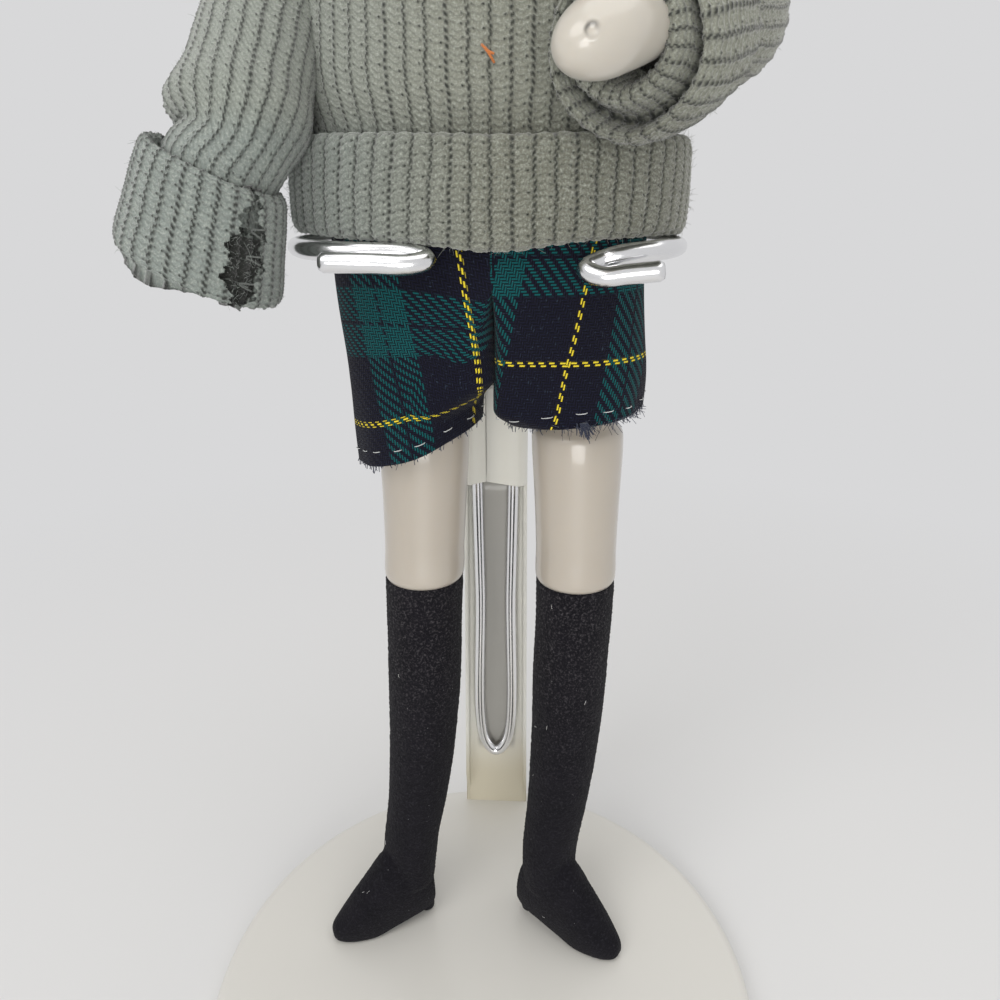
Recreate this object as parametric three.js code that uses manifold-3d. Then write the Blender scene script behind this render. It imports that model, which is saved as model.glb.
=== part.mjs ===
// A porcelain doll on a waist-clip stand. Millimetres, Z up, the doll faces -Y.
// The origin is the middle of the base's underside.
import * as THREE from 'three';
import { mergeVertices } from 'three/addons/utils/BufferGeometryUtils.js';
import Module from 'manifold-3d';

const wasm = await Module();
wasm.setup();

// Fits
const GAP = 0.3;
const WELD = 1e-4;
const MARGIN = 1;

// Stand
const BASE_R = 47.5;
const BASE_H = 5;
const BASE_SHEET = 1.2;
const BASE_EDGE_R = 2;
const BASE_HEM = 4;
const POST_W = 12.2;
const POST_FOOT_W = 13.8;
const POST_SHEET = 0.8;
const POST_INSET = 3.5;
const POST_BACK_Y = BASE_R - POST_INSET;
const POST_FLANGE = 1.8;
const POST_FLANGE_FOOT_Z = 11;
const POST_TAB = 12;
const CLAMP_Z0 = 84.8;
const CLAMP_Z1 = 104;
const CLAMP_CORNER_R = 1.8;
const BACK_CHAMFER = 0.4;
const STRIP_STEP = 0.1;
const SEAM_X = -1.6;
const SEAM_W = 0.5;
const WIRE_R = 1.2;
const WIRE_SIDES = 8;
const WIRE_TURN = 0.34;
const WIRE_RUN = 26;
const HAIRPIN_Z = 21;
const HAIRPIN_HALF_FOOT = 2.4;
const CLIP_HALF_W = 27;
const CLIP_Z = { right: 129.3, left: 128.7 };
const CLIP_TIP_X = { right: -6, left: 13 };
const CLIP_END_X = { right: -21, left: 25 };
const STRAND_DROP = 1.5;
const STRAND_FORWARD = 2.4;

// Doll: the trunk's own axis
const POST_TO_BODY = 20;
const BODY_Y = POST_BACK_Y - POST_TO_BODY;
const CLOTH_T = 0.9;
const KNIT_T = 1.6;
const HEM_BOTTOM_Z = 131;
const HEM_TOP_Z = 144;
const SWEATER_RX = 26.8;
const SWEATER_RY = 15.2;
const HEM_FOLD_T = 2.4;
const SHOULDER_Z = 163;
const ARMHOLE_R = 5.4;
const SLEEVE_PLANE_X = 27.5;
const SLEEVE_FREE_Y = 9.5;
const NECK_R = 4.4;
const PLATE_TOP_Z = 178;
const NECK_SEAT_Z = 175.2;
const COLLAR_Z0 = 175.6;
const COLLAR_Z1 = 182;
const COLLAR_T = 2.6;

// Legs
const HIP_Z = 112;
const HIP_X = { right: -10.9, left: 13.7 };
const ANKLE_FORWARD = 10;
const ANKLE_Y = BODY_Y - ANKLE_FORWARD;
const ANKLE_Z = 20;
const SOLE_Z = BASE_H + GAP;
const BOOT_TOP_Z = 76.2;
const FLOCK_T = 0.5;
const LEG_TOP_Z = 109.6;
const LEG_TOP_R = 5.9;
const THIGH_R = 7.3;
const THIGH_CLOTH_FOOT_Z = 104.2;
const LEG_TIE_Z = 106.6;
const TOE_OUT_DEG = { right: 67, left: 61 };
const FOOT_REACH = 15.4;
const HEEL_BACK = 4.3;
const HEEL_H = 2.6;
const THREAD_R = 0.35;

// Shorts
const SHORTS_T = 0.9;
const SHORTS_LEG_R = 11;
const DOME_DEG = 40;
const HIP_SWING_DEG = 40;
const SEAT_RX = 23.4;
const SEAT_RY = 13.4;
const SEAT_Z0 = 114;
const SEAT_Z1 = 129;
const SHORTS_HEM = {
  right: { x: -11, z: 98.8, slope: 0.34 },
  left: { x: 14.1, z: 102.6, slope: 0.02 },
};

// Head
const HEAD_Y = BODY_Y - 1;
const CHIN_Z = 184;
const CROWN_Z = 213.6;
const HAIR_T = 2.2;

// Colours
const MATERIALS = {
  enamel: { color: 0xd0ceca, roughness: 0.32, metalness: 0 },
  chrome: { color: 0xb9bcc0, roughness: 0.18, metalness: 1 },
  porcelain: { color: 0xd9d1c4, roughness: 0.12, metalness: 0 },
  flock: { color: 0x252428, roughness: 0.95, metalness: 0 },
  muslin: { color: 0xdcd3c0, roughness: 0.9, metalness: 0 },
  stuffing: { color: 0xeeebe4, roughness: 1, metalness: 0 },
  knit: { color: 0x7a7f79, roughness: 0.92, metalness: 0 },
  tartan: { color: 0x1b2a3c, roughness: 0.85, metalness: 0 },
  thread: { color: 0xe8e2d4, roughness: 0.8, metalness: 0 },
  aluminium: { color: 0xa9abad, roughness: 0.4, metalness: 1 },
  hair: { color: 0x5a4030, roughness: 0.6, metalness: 0 },
};

const doll = new THREE.Group();
doll.name = 'porcelain_doll_ornament';

const point = (x, y, z) => new THREE.Vector3(x, y, z);
const mix = (a, b, t) => a + (b - a) * t;

function addPart(name, geometry, kind) {
  const mesh = new THREE.Mesh(geometry, new THREE.MeshStandardMaterial(MATERIALS[kind]));
  mesh.name = name;
  doll.add(mesh);
}

// Signed volume of a triangle list, used to turn a solid's faces outwards.
function volumeOf(points, triangles) {
  let sum = 0;
  const cross = new THREE.Vector3();
  for (const [a, b, c] of triangles) {
    cross.crossVectors(points[b], points[c]);
    sum += points[a].dot(cross);
  }
  return sum;
}

// A closed solid through a row of rings. Capped at both ends, or closed on itself.
function loft(rings, closed = false) {
  const n = rings[0].length;
  const points = rings.flat().map((p) => p.clone());
  const triangles = [];
  const spans = closed ? rings.length : rings.length - 1;
  for (let i = 0; i < spans; i += 1) {
    const here = i * n;
    const next = ((i + 1) % rings.length) * n;
    for (let j = 0; j < n; j += 1) {
      const k = (j + 1) % n;
      triangles.push([here + j, here + k, next + k]);
      triangles.push([here + j, next + k, next + j]);
    }
  }
  if (!closed) {
    const last = (rings.length - 1) * n;
    for (let j = 1; j + 1 < n; j += 1) {
      triangles.push([0, j + 1, j]);
      triangles.push([last, last + j, last + j + 1]);
    }
  }
  const turned = volumeOf(points, triangles) < 0;
  const geometry = new THREE.BufferGeometry();
  const flat = points.flatMap((p) => [p.x, p.y, p.z]);
  geometry.setAttribute('position', new THREE.Float32BufferAttribute(flat, 3));
  geometry.setIndex(triangles.flatMap(([a, b, c]) => (turned ? [a, c, b] : [a, b, c])));
  geometry.computeVertexNormals();
  return geometry;
}

// A level oval ring; slope lifts it along X, and waves gather it in soft folds.
function oval(x, y, z, rx, ry, n, { slope = 0, waves = 0, depth = 0 } = {}) {
  const ring = [];
  for (let j = 0; j < n; j += 1) {
    const t = (2 * Math.PI * j) / n;
    const swell = 1 + depth * Math.cos(waves * t);
    const dx = rx * swell * Math.cos(t);
    ring.push(point(x + dx, y + ry * swell * Math.sin(t), z + slope * dx));
  }
  return ring;
}

// Round rings square to a smooth path. Each station is a share of its length and a radius.
const FRAME_STEPS = 1000;
function curveThrough(path) {
  const curve = new THREE.CatmullRomCurve3(path.map((p) => point(...p)), false, 'centripetal');
  curve.arcLengthDivisions = 2 * FRAME_STEPS;
  return curve;
}
function pathRings(path, stations, n) {
  const curve = curveThrough(path);
  const frames = curve.computeFrenetFrames(FRAME_STEPS, false);
  return stations.map(([along, radius]) => {
    const i = Math.round(along * FRAME_STEPS);
    const centre = curve.getPointAt(along);
    const ring = [];
    for (let j = 0; j < n; j += 1) {
      const t = (2 * Math.PI * j) / n;
      const out = frames.normals[i].clone().multiplyScalar(radius * Math.cos(t));
      out.addScaledVector(frames.binormals[i], radius * Math.sin(t));
      ring.push(centre.clone().add(out));
    }
    return ring;
  });
}
// Stations for a bent wire: one wherever it has turned or run on far enough.
function bendStations(path, radius) {
  const curve = curveThrough(path);
  const stride = curve.getLength() / FRAME_STEPS;
  const stations = [[0, radius]];
  let last = curve.getTangentAt(0);
  let turned = 0;
  let run = 0;
  for (let i = 1; i < FRAME_STEPS; i += 1) {
    const here = curve.getTangentAt(i / FRAME_STEPS);
    turned += here.angleTo(last);
    run += stride;
    last = here;
    if (turned > WIRE_TURN || run > WIRE_RUN) {
      stations.push([i / FRAME_STEPS, radius]);
      turned = 0;
      run = 0;
    }
  }
  stations.push([1, radius]);
  return stations;
}
// Radii spread evenly along a path.
const evenly = (radii) => radii.map((radius, i) => [i / (radii.length - 1), radius]);

const shell = (outer, inner) => loft([...outer, ...inner.slice().reverse()], true);
const cup = (outer, inner) => loft([...outer, ...inner.slice().reverse()]);

function boxBetween(low, high) {
  const geometry = new THREE.BoxGeometry(high[0] - low[0], high[1] - low[1], high[2] - low[2]);
  return geometry.translate(
    (low[0] + high[0]) / 2,
    (low[1] + high[1]) / 2,
    (low[2] + high[2]) / 2,
  );
}

function solidOf(geometry) {
  const bare = geometry.clone();
  bare.deleteAttribute('normal');
  bare.deleteAttribute('uv');
  const welded = mergeVertices(bare, WELD);
  return new wasm.Manifold(new wasm.Mesh({
    numProp: 3,
    vertProperties: new Float32Array(welded.attributes.position.array),
    triVerts: new Uint32Array(welded.index.array),
  }));
}

function geometryOf(solid) {
  const mesh = solid.getMesh();
  const geometry = new THREE.BufferGeometry();
  geometry.setAttribute('position', new THREE.Float32BufferAttribute(mesh.vertProperties, 3));
  geometry.setIndex(Array.from(mesh.triVerts));
  geometry.computeVertexNormals();
  return geometry;
}

function joined(...geometries) {
  return geometryOf(geometries.map(solidOf).reduce((a, b) => a.add(b)));
}

function cut(geometry, ...tools) {
  return geometryOf(tools.map(solidOf).reduce((a, b) => a.subtract(b), solidOf(geometry)));
}

// The base: a pressed steel dish with its edge turned down and hemmed under.
const postFrontY = POST_BACK_Y - POST_SHEET;
function baseDisc() {
  const under = BASE_H - BASE_SHEET;
  const edge = [];
  const steps = 4;
  for (let i = 0; i <= steps; i += 1) {
    const t = (Math.PI / 2) * (i / steps);
    const r = BASE_R - BASE_EDGE_R + BASE_EDGE_R * Math.sin(t);
    edge.push(new THREE.Vector2(r, BASE_H - BASE_EDGE_R + BASE_EDGE_R * Math.cos(t)));
  }
  const wall = BASE_R - BASE_SHEET;
  const profile = [
    new THREE.Vector2(0, BASE_H),
    ...edge,
    new THREE.Vector2(BASE_R, BASE_SHEET / 2),
    new THREE.Vector2(BASE_R - BASE_SHEET / 2, 0),
    new THREE.Vector2(BASE_R - BASE_HEM, 0),
    new THREE.Vector2(BASE_R - BASE_HEM, BASE_SHEET),
    new THREE.Vector2(wall, BASE_SHEET),
    new THREE.Vector2(wall, BASE_H - BASE_EDGE_R),
    new THREE.Vector2(BASE_R - BASE_EDGE_R, under),
    new THREE.Vector2(0, under),
  ];
  const dish = new THREE.LatheGeometry(profile.reverse(), 40).rotateX(Math.PI / 2);
  const slot = boxBetween(
    [-POST_FOOT_W / 2 - GAP, postFrontY - GAP, under - MARGIN],
    [POST_FOOT_W / 2 + GAP, POST_BACK_Y + GAP, BASE_H + MARGIN],
  );
  return cut(dish, slot);
}
addPart('base_disc', baseDisc(), 'enamel');

// The post: one strip, tabbed under the base, with its upper edges rolled round the wire.
const wireY = postFrontY - GAP - WIRE_R;
const clampDepth = 2 * (WIRE_R + GAP + POST_SHEET);
const clampFrontY = POST_BACK_Y - clampDepth;
function extruded(corners, z0, z1) {
  const outline = new THREE.Shape(corners.map(([x, y]) => new THREE.Vector2(x, y)));
  const options = { depth: z1 - z0, bevelEnabled: false };
  return new THREE.ExtrudeGeometry(outline, options).translate(0, 0, z0);
}
// Half of the rolled clamp's section, from the seam round to the middle of its back.
function rolledHalf(sign, inset) {
  const half = POST_W / 2 - inset;
  const y0 = clampFrontY + inset;
  const y1 = POST_BACK_Y - inset;
  const roll = CLAMP_CORNER_R - inset;
  const steps = 4;
  const corners = [[SEAM_X + (sign * SEAM_W) / 2, y0]];
  for (let i = 0; i <= steps; i += 1) {
    const t = (Math.PI / 2) * (i / steps);
    corners.push([sign * (half - roll + roll * Math.sin(t)), y0 + roll - roll * Math.cos(t)]);
  }
  corners.push([sign * half, y1 - BACK_CHAMFER], [sign * (half - BACK_CHAMFER), y1]);
  return corners;
}
function rolledClamp() {
  const outer = [...rolledHalf(1, 0), ...rolledHalf(-1, 0).reverse()];
  const inner = [...rolledHalf(-1, POST_SHEET), ...rolledHalf(1, POST_SHEET).reverse()];
  return extruded([...outer, ...inner], CLAMP_Z0, CLAMP_Z1);
}
// The strip is widest at its foot and narrows evenly to the clamp.
function widenToFoot(geometry, footZ) {
  const spots = geometry.attributes.position;
  for (let i = 0; i < spots.count; i += 1) {
    const down = Math.max(0, (CLAMP_Z0 - spots.getZ(i)) / (CLAMP_Z0 - footZ));
    spots.setX(i, spots.getX(i) * mix(1, POST_FOOT_W / POST_W, down));
  }
}
function post() {
  const half = POST_W / 2 - STRIP_STEP;
  const back = POST_BACK_Y - STRIP_STEP;
  const front = postFrontY + STRIP_STEP;
  const edge = half - (back - front);
  const lip = front - POST_FLANGE;
  const tabTop = BASE_H - BASE_SHEET - GAP;
  const tabZ = tabTop - POST_SHEET;
  const channel = extruded([
    [-half, lip], [-edge, lip], [-edge, front], [edge, front],
    [edge, lip], [half, lip], [half, back], [-half, back],
  ], tabZ + STRIP_STEP, CLAMP_Z0 + STRIP_STEP);
  widenToFoot(channel, tabZ);
  const footRoom = boxBetween(
    [-POST_FOOT_W, lip - MARGIN, tabZ - MARGIN],
    [POST_FOOT_W, front, POST_FLANGE_FOOT_Z],
  );
  const tab = boxBetween(
    [-edge, POST_BACK_Y - POST_TAB, tabZ],
    [edge, mix(front, back, 0.5), tabTop],
  );
  return joined(cut(channel, footRoom), tab, rolledClamp());
}
addPart('post', post(), 'enamel');

// The clip: one sprung wire. A hairpin runs in the post's clamp, the arms go round the
// hips, and each end is bent back on itself so that no sharp tip shows.
const clampHalf = POST_W / 2 - POST_SHEET - GAP - WIRE_R;
const clipFrontY = BODY_Y - SEAT_RY - GAP - WIRE_R;
const SIDE_SIGN = { right: -1, left: 1 };
function clipHalf(side) {
  const sign = SIDE_SIGN[side];
  const x = (value) => sign * value;
  const z = CLIP_Z[side];
  const tip = CLIP_TIP_X[side];
  const lowY = clipFrontY - STRAND_FORWARD;
  const lowZ = z - STRAND_DROP;
  return [
    [x(HAIRPIN_HALF_FOOT), wireY, HAIRPIN_Z + 1.2 * HAIRPIN_HALF_FOOT],
    [x(mix(HAIRPIN_HALF_FOOT, clampHalf, 0.5)), wireY, mix(HAIRPIN_Z, CLAMP_Z1, 0.5)],
    [x(clampHalf), wireY, CLAMP_Z1],
    [x(clampHalf + 0.6), wireY, z - 11],
    [x(clampHalf + 4), wireY - 0.3, z - 3.2],
    [x(0.56 * CLIP_HALF_W), wireY - 2, z],
    [x(0.85 * CLIP_HALF_W), wireY - 6.5, z],
    [x(CLIP_HALF_W), BODY_Y + 3, z],
    [x(CLIP_HALF_W), BODY_Y - 7, z],
    [x(CLIP_HALF_W - 3.4), clipFrontY + 2.2, z],
    [x(CLIP_HALF_W - 9), clipFrontY, z],
    [tip + sign * 2.2, clipFrontY, z],
    [tip, mix(clipFrontY, lowY, 0.5), mix(z, lowZ, 0.5)],
    [tip + sign * 2.2, lowY, lowZ],
    [mix(tip, CLIP_END_X[side], 0.5), lowY, lowZ],
    [CLIP_END_X[side], lowY, lowZ],
  ];
}
function saddleWire() {
  const foot = [0, wireY, HAIRPIN_Z];
  const path = [...clipHalf('right').reverse(), foot, ...clipHalf('left')];
  return loft(pathRings(path, bendStations(path, WIRE_R), WIRE_SIDES));
}
addPart('saddle_wire', saddleWire(), 'chrome');

// The trunk: a sewn muslin bag, open under the shoulder plate, and its stuffing.
const trunkFootZ = HIP_Z + SHORTS_LEG_R + GAP;
const trunkProfile = [
  [trunkFootZ, 16, 9.6],
  [trunkFootZ + 1.6, 18.6, 11.4],
  [130, 19.4, 12],
  [140, 17.2, 11.2],
  [151, 18.4, 11.6],
  [160, 17.8, 10.6],
  [167, 15, 8.8],
];
const TRUNK_SIDES = 18;
const trunkRings = (inset) => trunkProfile.map(([z, rx, ry], i) => {
  const lift = i === 0 ? inset : 0;
  return oval(0, BODY_Y, z + lift, rx - inset, ry - inset, TRUNK_SIDES);
});
addPart('trunk_cloth', cup(trunkRings(0), trunkRings(CLOTH_T)), 'muslin');
addPart('trunk_stuffing', loft(trunkRings(CLOTH_T + GAP)), 'stuffing');

// The shoulder plate sits on the bag's mouth and holds the turning neck.
function shoulderPlate() {
  const mouthZ = trunkProfile.at(-1)[0] + GAP;
  const rings = [
    oval(0, BODY_Y, mouthZ, 15.4, 9, 20),
    oval(0, BODY_Y, mouthZ + 1.6, 15, 8.8, 20),
    oval(0, BODY_Y, mouthZ + 4.2, 11.5, 7.6, 20),
    oval(0, BODY_Y, mouthZ + 6.8, 7.4, 6.6, 20),
    oval(0, BODY_Y, PLATE_TOP_Z, NECK_R + 1.7, NECK_R + 1.7, 20),
  ];
  const socket = [NECK_SEAT_Z, PLATE_TOP_Z + MARGIN].map((z) => (
    oval(0, BODY_Y, z, NECK_R + GAP, NECK_R + GAP, 20)));
  return cut(loft(rings), loft(socket));
}
addPart('shoulder_plate', shoulderPlate(), 'porcelain');

// The head is one casting with its neck. Front, back and half-width change with height.
const headProfile = [
  [NECK_SEAT_Z + GAP, NECK_R, NECK_R, NECK_R],
  [CHIN_Z - 1.5, NECK_R, NECK_R, NECK_R],
  [CHIN_Z, 5.6, 8.6, 5],
  [CHIN_Z + 1.6, 7.6, 10.8, 6.4],
  [CHIN_Z + 4, 9.8, 11.6, 9],
  [CHIN_Z + 7, 11.3, 12, 11.6],
  [CHIN_Z + 10, 12.1, 12.2, 13.4],
  [CHIN_Z + 13, 12.5, 12.1, 14.4],
  [CHIN_Z + 17, 12.6, 12.3, 14.8],
  [CHIN_Z + 21, 12, 11.9, 14],
  [CHIN_Z + 24.4, 10.4, 10.4, 12],
  [CHIN_Z + 27.2, 7.6, 7.8, 8.6],
  [CHIN_Z + 29, 4.2, 4.4, 4.6],
  [CROWN_Z, 1, 1, 1],
];
const HEAD_SIDES = 24;
const hill = (distance, width) => Math.exp(-((distance / width) ** 2));
function headRings(grow, features) {
  return headProfile.map(([z, rx, front, back], i) => {
    const neck = i < 2 ? BODY_Y : HEAD_Y;
    const ring = [];
    for (let j = 0; j < HEAD_SIDES; j += 1) {
      const t = (2 * Math.PI * j) / HEAD_SIDES;
      const x = (rx + grow) * Math.cos(t);
      const deep = Math.sin(t) < 0 ? front + grow : back + grow;
      let y = deep * Math.sin(t);
      if (features && Math.sin(t) < 0 && i > 1) {
        const nose = 2 * hill(x, 1.8) * hill(z - (CHIN_Z + 9), 2.4);
        const eyes = 0.7 * hill(Math.abs(x) - 4.6, 2) * hill(z - (CHIN_Z + 13), 2);
        const lips = 0.5 * hill(x, 2.6) * hill(z - (CHIN_Z + 4.6), 1.4);
        y += eyes - nose - lips;
      }
      ring.push(point(x, neck + y, z));
    }
    return ring;
  });
}
addPart('head', loft(headRings(0, true)), 'porcelain');

// The wig: a short bob glued over the crown, cut open at the face.
function wig() {
  const lowZ = CHIN_Z + 3;
  const browZ = CHIN_Z + 17;
  const sideX = 12.4;
  const napeY = 13.2;
  const rings = headProfile.slice(4).map(([z, rx, front, back]) => {
    const climb = Math.max(0, (z - browZ) / (CROWN_Z - browZ));
    const wide = (climb > 0 ? rx : Math.max(rx, sideX)) + HAIR_T * (1 - 0.3 * climb);
    const rear = (climb > 0 ? back : Math.max(back, napeY)) + HAIR_T * (1 - 0.3 * climb);
    const fore = front + HAIR_T * (1 - 0.3 * climb);
    const ring = [];
    for (let j = 0; j < HEAD_SIDES; j += 1) {
      const t = (2 * Math.PI * j) / HEAD_SIDES;
      const deep = Math.sin(t) < 0 ? fore : rear;
      ring.push(point(wide * Math.cos(t), HEAD_Y + deep * Math.sin(t), z + HAIR_T * climb));
    }
    return ring;
  });
  const nape = oval(0, HEAD_Y + 1, lowZ, sideX + 0.6, napeY + 0.6, HEAD_SIDES);
  const mass = loft([nape, ...rings]);
  const face = loft([
    oval(0, HEAD_Y - 12, CHIN_Z - MARGIN, 10.4, 9, 20),
    oval(0, HEAD_Y - 12, CHIN_Z + 13, 10.4, 8.2, 20),
    oval(0, HEAD_Y - 14, CHIN_Z + 18.5, 8.6, 8, 20),
  ]);
  const hollow = loft(headRings(GAP, false));
  return cut(mass, hollow, face);
}
addPart('wig', wig(), 'hair');

// The sweater's body: a knitted tube with its hem folded up on the outside.
const KNIT_SIDES = 24;
const bodyHole = (side, radius) => {
  const hole = new THREE.CylinderGeometry(radius, radius, 2 * KNIT_T + SWEATER_RX / 2, 24);
  hole.rotateZ(Math.PI / 2);
  return hole.translate(side * (SWEATER_RX - KNIT_T), BODY_Y, SHOULDER_Z);
};
const chestProfile = [
  [HEM_TOP_Z - 0.4, 0, 0],
  [152, 0, 0],
  [SHOULDER_Z - 4, 0, 0.4],
  [SHOULDER_Z + 3, 0, 1.2],
  [169.4, 1.4, 2.4],
  [172.4, 6.4, 4],
  [175.2, 15.2, 5.4],
];
const knitRing = (z, rx, ry) => oval(0, BODY_Y, z, rx, ry, KNIT_SIDES);
const hemRing = (z, out) => knitRing(z, SWEATER_RX + out, SWEATER_RY + out);
const chestRings = (grow) => chestProfile.map(([z, inX, inY]) => (
  knitRing(z, SWEATER_RX - inX + grow, SWEATER_RY - inY + grow)));
const sweaterOutside = (grow) => [
  hemRing(HEM_BOTTOM_Z - grow, HEM_FOLD_T - 0.7 + grow),
  hemRing(HEM_BOTTOM_Z + 0.9, HEM_FOLD_T + grow),
  hemRing(HEM_TOP_Z - 0.9, HEM_FOLD_T + grow),
  hemRing(HEM_TOP_Z + grow, HEM_FOLD_T - 0.8 + grow),
  hemRing(HEM_TOP_Z + grow, KNIT_T / 2 + grow),
  ...chestRings(grow),
];
function sweaterBody() {
  const inside = [hemRing(HEM_BOTTOM_Z, -KNIT_T), ...chestRings(-KNIT_T)];
  const tube = shell(sweaterOutside(0), inside);
  return cut(tube, bodyHole(-1, ARMHOLE_R), bodyHole(1, ARMHOLE_R));
}
addPart('sweater_body', sweaterBody(), 'knit');

// The collar: a knitted tube rolled over on itself round the neck.
function collar() {
  const mid = (COLLAR_Z0 + COLLAR_Z1) / 2;
  const inX = NECK_R + 2.8;
  const ringAt = (z, out) => oval(0, BODY_Y, z, inX + out, inX + out, KNIT_SIDES);
  const outer = [
    ringAt(COLLAR_Z0, COLLAR_T + 0.4),
    ringAt(mid, COLLAR_T + 0.8),
    ringAt(COLLAR_Z1 - 1, COLLAR_T),
    ringAt(COLLAR_Z1, COLLAR_T / 2),
  ];
  const inner = [ringAt(COLLAR_Z0, 0.2), ringAt(COLLAR_Z1 - 1, 0)];
  return shell(outer, inner);
}
addPart('collar', collar(), 'knit');

// Arms. The root runs straight out through the armhole, so that it can turn there.
const outsideClip = (out) => -(CLIP_HALF_W + out);
const ARMS = {
  right: {
    root: [[-18.9, 0, SHOULDER_Z], [-24, 0, SHOULDER_Z]],
    path: [[-29.4, 0.7, 162.2], [-30.8, 5.6, 156.6], [outsideClip(4.2), 11, 149.4],
      [outsideClip(6), 15.6, 142]],
    hand: [[outsideClip(7), 17.4, 138.4], [outsideClip(8), 18.6, 134.6],
      [outsideClip(9), 19.4, 131], [outsideClip(9.8), 20, 128.2]],
    sleeve: [[-22, 0, 164.5], [-27, 1.2, 162.6], [-29.4, 5.6, 156.8],
      [outsideClip(3.6), 10.8, 149.6], [outsideClip(5.2), 15.4, 142],
      [outsideClip(6), 16.8, 139.2]],
    sleeveRadii: [8, 8.3, 8.4, 8.4, 8.8, 9, 8.2, 7.4],
    cuff: [[outsideClip(6.4), 16.8, 140], [outsideClip(7.9), 18.2, 133.6],
      [outsideClip(9.3), 19.4, 127.2]],
    cuffRadii: [9.4, 10, 10.6, 11, 10.6],
    cuffThickness: 2.2,
  },
  left: {
    root: [[18.9, 0, SHOULDER_Z], [24, 0, SHOULDER_Z]],
    path: [[29.4, 0.7, 162.2], [31, 5, 158], [29.4, 10.8, 156], [26, 16.4, 155]],
    hand: [[23.4, 20.2, 154.4], [19.2, 25, 153], [13.6, 31.4, 151.2], [8.6, 35.6, 149]],
    sleeve: [[22, 0, 164.5], [27, 0.8, 162.8], [30.2, 4.6, 158.6], [29.8, 10, 156.4],
      [26.4, 16, 155.2], [23.4, 20, 154.4]],
    sleeveRadii: [8, 8.2, 8.2, 8.2, 8.2, 8.2, 8, 7.4],
    cuff: [[26.2, 15, 155.2], [22, 20.6, 154], [17.7, 26, 152.5]],
    cuffRadii: [9.2, 9.8, 9.9, 9.7, 9],
    cuffThickness: 1.8,
  },
};
const placed = (points) => points.map(([x, forward, z]) => [x, BODY_Y - forward, z]);
const ARM_R = 4;
const ARM_BORE_R = 1.2;
const ARM_WIRE_R = ARM_BORE_R - GAP - 0.1;
const STUB_R = 2.9;
const STUB_FROM = 0.8;
const ARM_SIDES = 10;
const HAND_SIDES = 14;
const SLEEVE_SIDES = 14;
const armPath = (arm) => placed([...arm.root, ...arm.path]);
function armCloth(arm) {
  const shares = [0, 0.14, 0.28, 0.42, 0.56, 0.7, STUB_FROM, STUB_FROM, 0.9, 1];
  const outer = pathRings(armPath(arm), shares.map((along) => [along, ARM_R]), ARM_SIDES);
  const bore = shares.map((along, i) => [along, i > 6 ? STUB_R + GAP : ARM_BORE_R]);
  outer.splice(7, 1);
  return shell(outer, pathRings(armPath(arm), bore, ARM_SIDES));
}
function armWire(arm) {
  const shares = [0.02, 0.14, 0.28, 0.42, 0.56, 0.7, STUB_FROM - 0.04];
  return loft(pathRings(armPath(arm), shares.map((along) => [along, ARM_WIRE_R]), 6));
}
// The hand: a plain mitten casting with a stub that the arm's cloth is tied round.
function handCasting(arm) {
  const curve = curveThrough(armPath(arm));
  const stub = [STUB_FROM + 0.03, 0.9, 1].map((along) => curve.getPointAt(along).toArray());
  const stations = [
    [0, STUB_R], [0.18, STUB_R], [0.34, 3], [0.48, 3.5], [0.6, 4.1], [0.72, 4.4],
    [0.83, 4.3], [0.91, 3.7], [0.965, 2.6], [1, 1],
  ];
  return loft(pathRings([...stub, ...placed(arm.hand)], stations, HAND_SIDES));
}
function armTie(arm) {
  const curve = curveThrough(armPath(arm));
  const along = mix(STUB_FROM, 1, 0.66);
  const ring = new THREE.TorusGeometry(ARM_R + THREAD_R + GAP, THREAD_R, 5, 14);
  const turn = new THREE.Quaternion().setFromUnitVectors(
    point(0, 0, 1), curve.getTangentAt(along));
  ring.applyQuaternion(turn);
  return ring.translate(...curve.getPointAt(along).toArray());
}
const sleeveRings = (arm, grow) => (
  pathRings(placed(arm.sleeve), evenly(arm.sleeveRadii.map((r) => r + grow)), SLEEVE_SIDES));
const sweaterSpace = loft(sweaterOutside(2 * GAP));
function sleeve(arm) {
  const besideBody = boxBetween(
    [-SLEEVE_PLANE_X, BODY_Y - SLEEVE_FREE_Y, HIP_Z],
    [SLEEVE_PLANE_X, BASE_R, CROWN_Z],
  );
  return cut(shell(sleeveRings(arm, 0), sleeveRings(arm, -KNIT_T)), besideBody, sweaterSpace);
}
function cuff(arm) {
  const ringsAt = (grow) => (
    pathRings(placed(arm.cuff), evenly(arm.cuffRadii.map((r) => r + grow)), SLEEVE_SIDES));
  const band = shell(ringsAt(0), ringsAt(-arm.cuffThickness));
  return cut(band, loft(sleeveRings(arm, GAP)), sweaterSpace);
}
for (const side of ['right', 'left']) {
  const arm = ARMS[side];
  addPart(`arm_cloth_${side}`, armCloth(arm), 'muslin');
  addPart(`arm_wire_${side}`, armWire(arm), 'aluminium');
  addPart(`hand_${side}`, handCasting(arm), 'porcelain');
  addPart(`arm_tie_${side}`, armTie(arm), 'thread');
  addPart(`sleeve_${side}`, sleeve(arm), 'knit');
  addPart(`cuff_${side}`, cuff(arm), 'knit');
}

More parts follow.
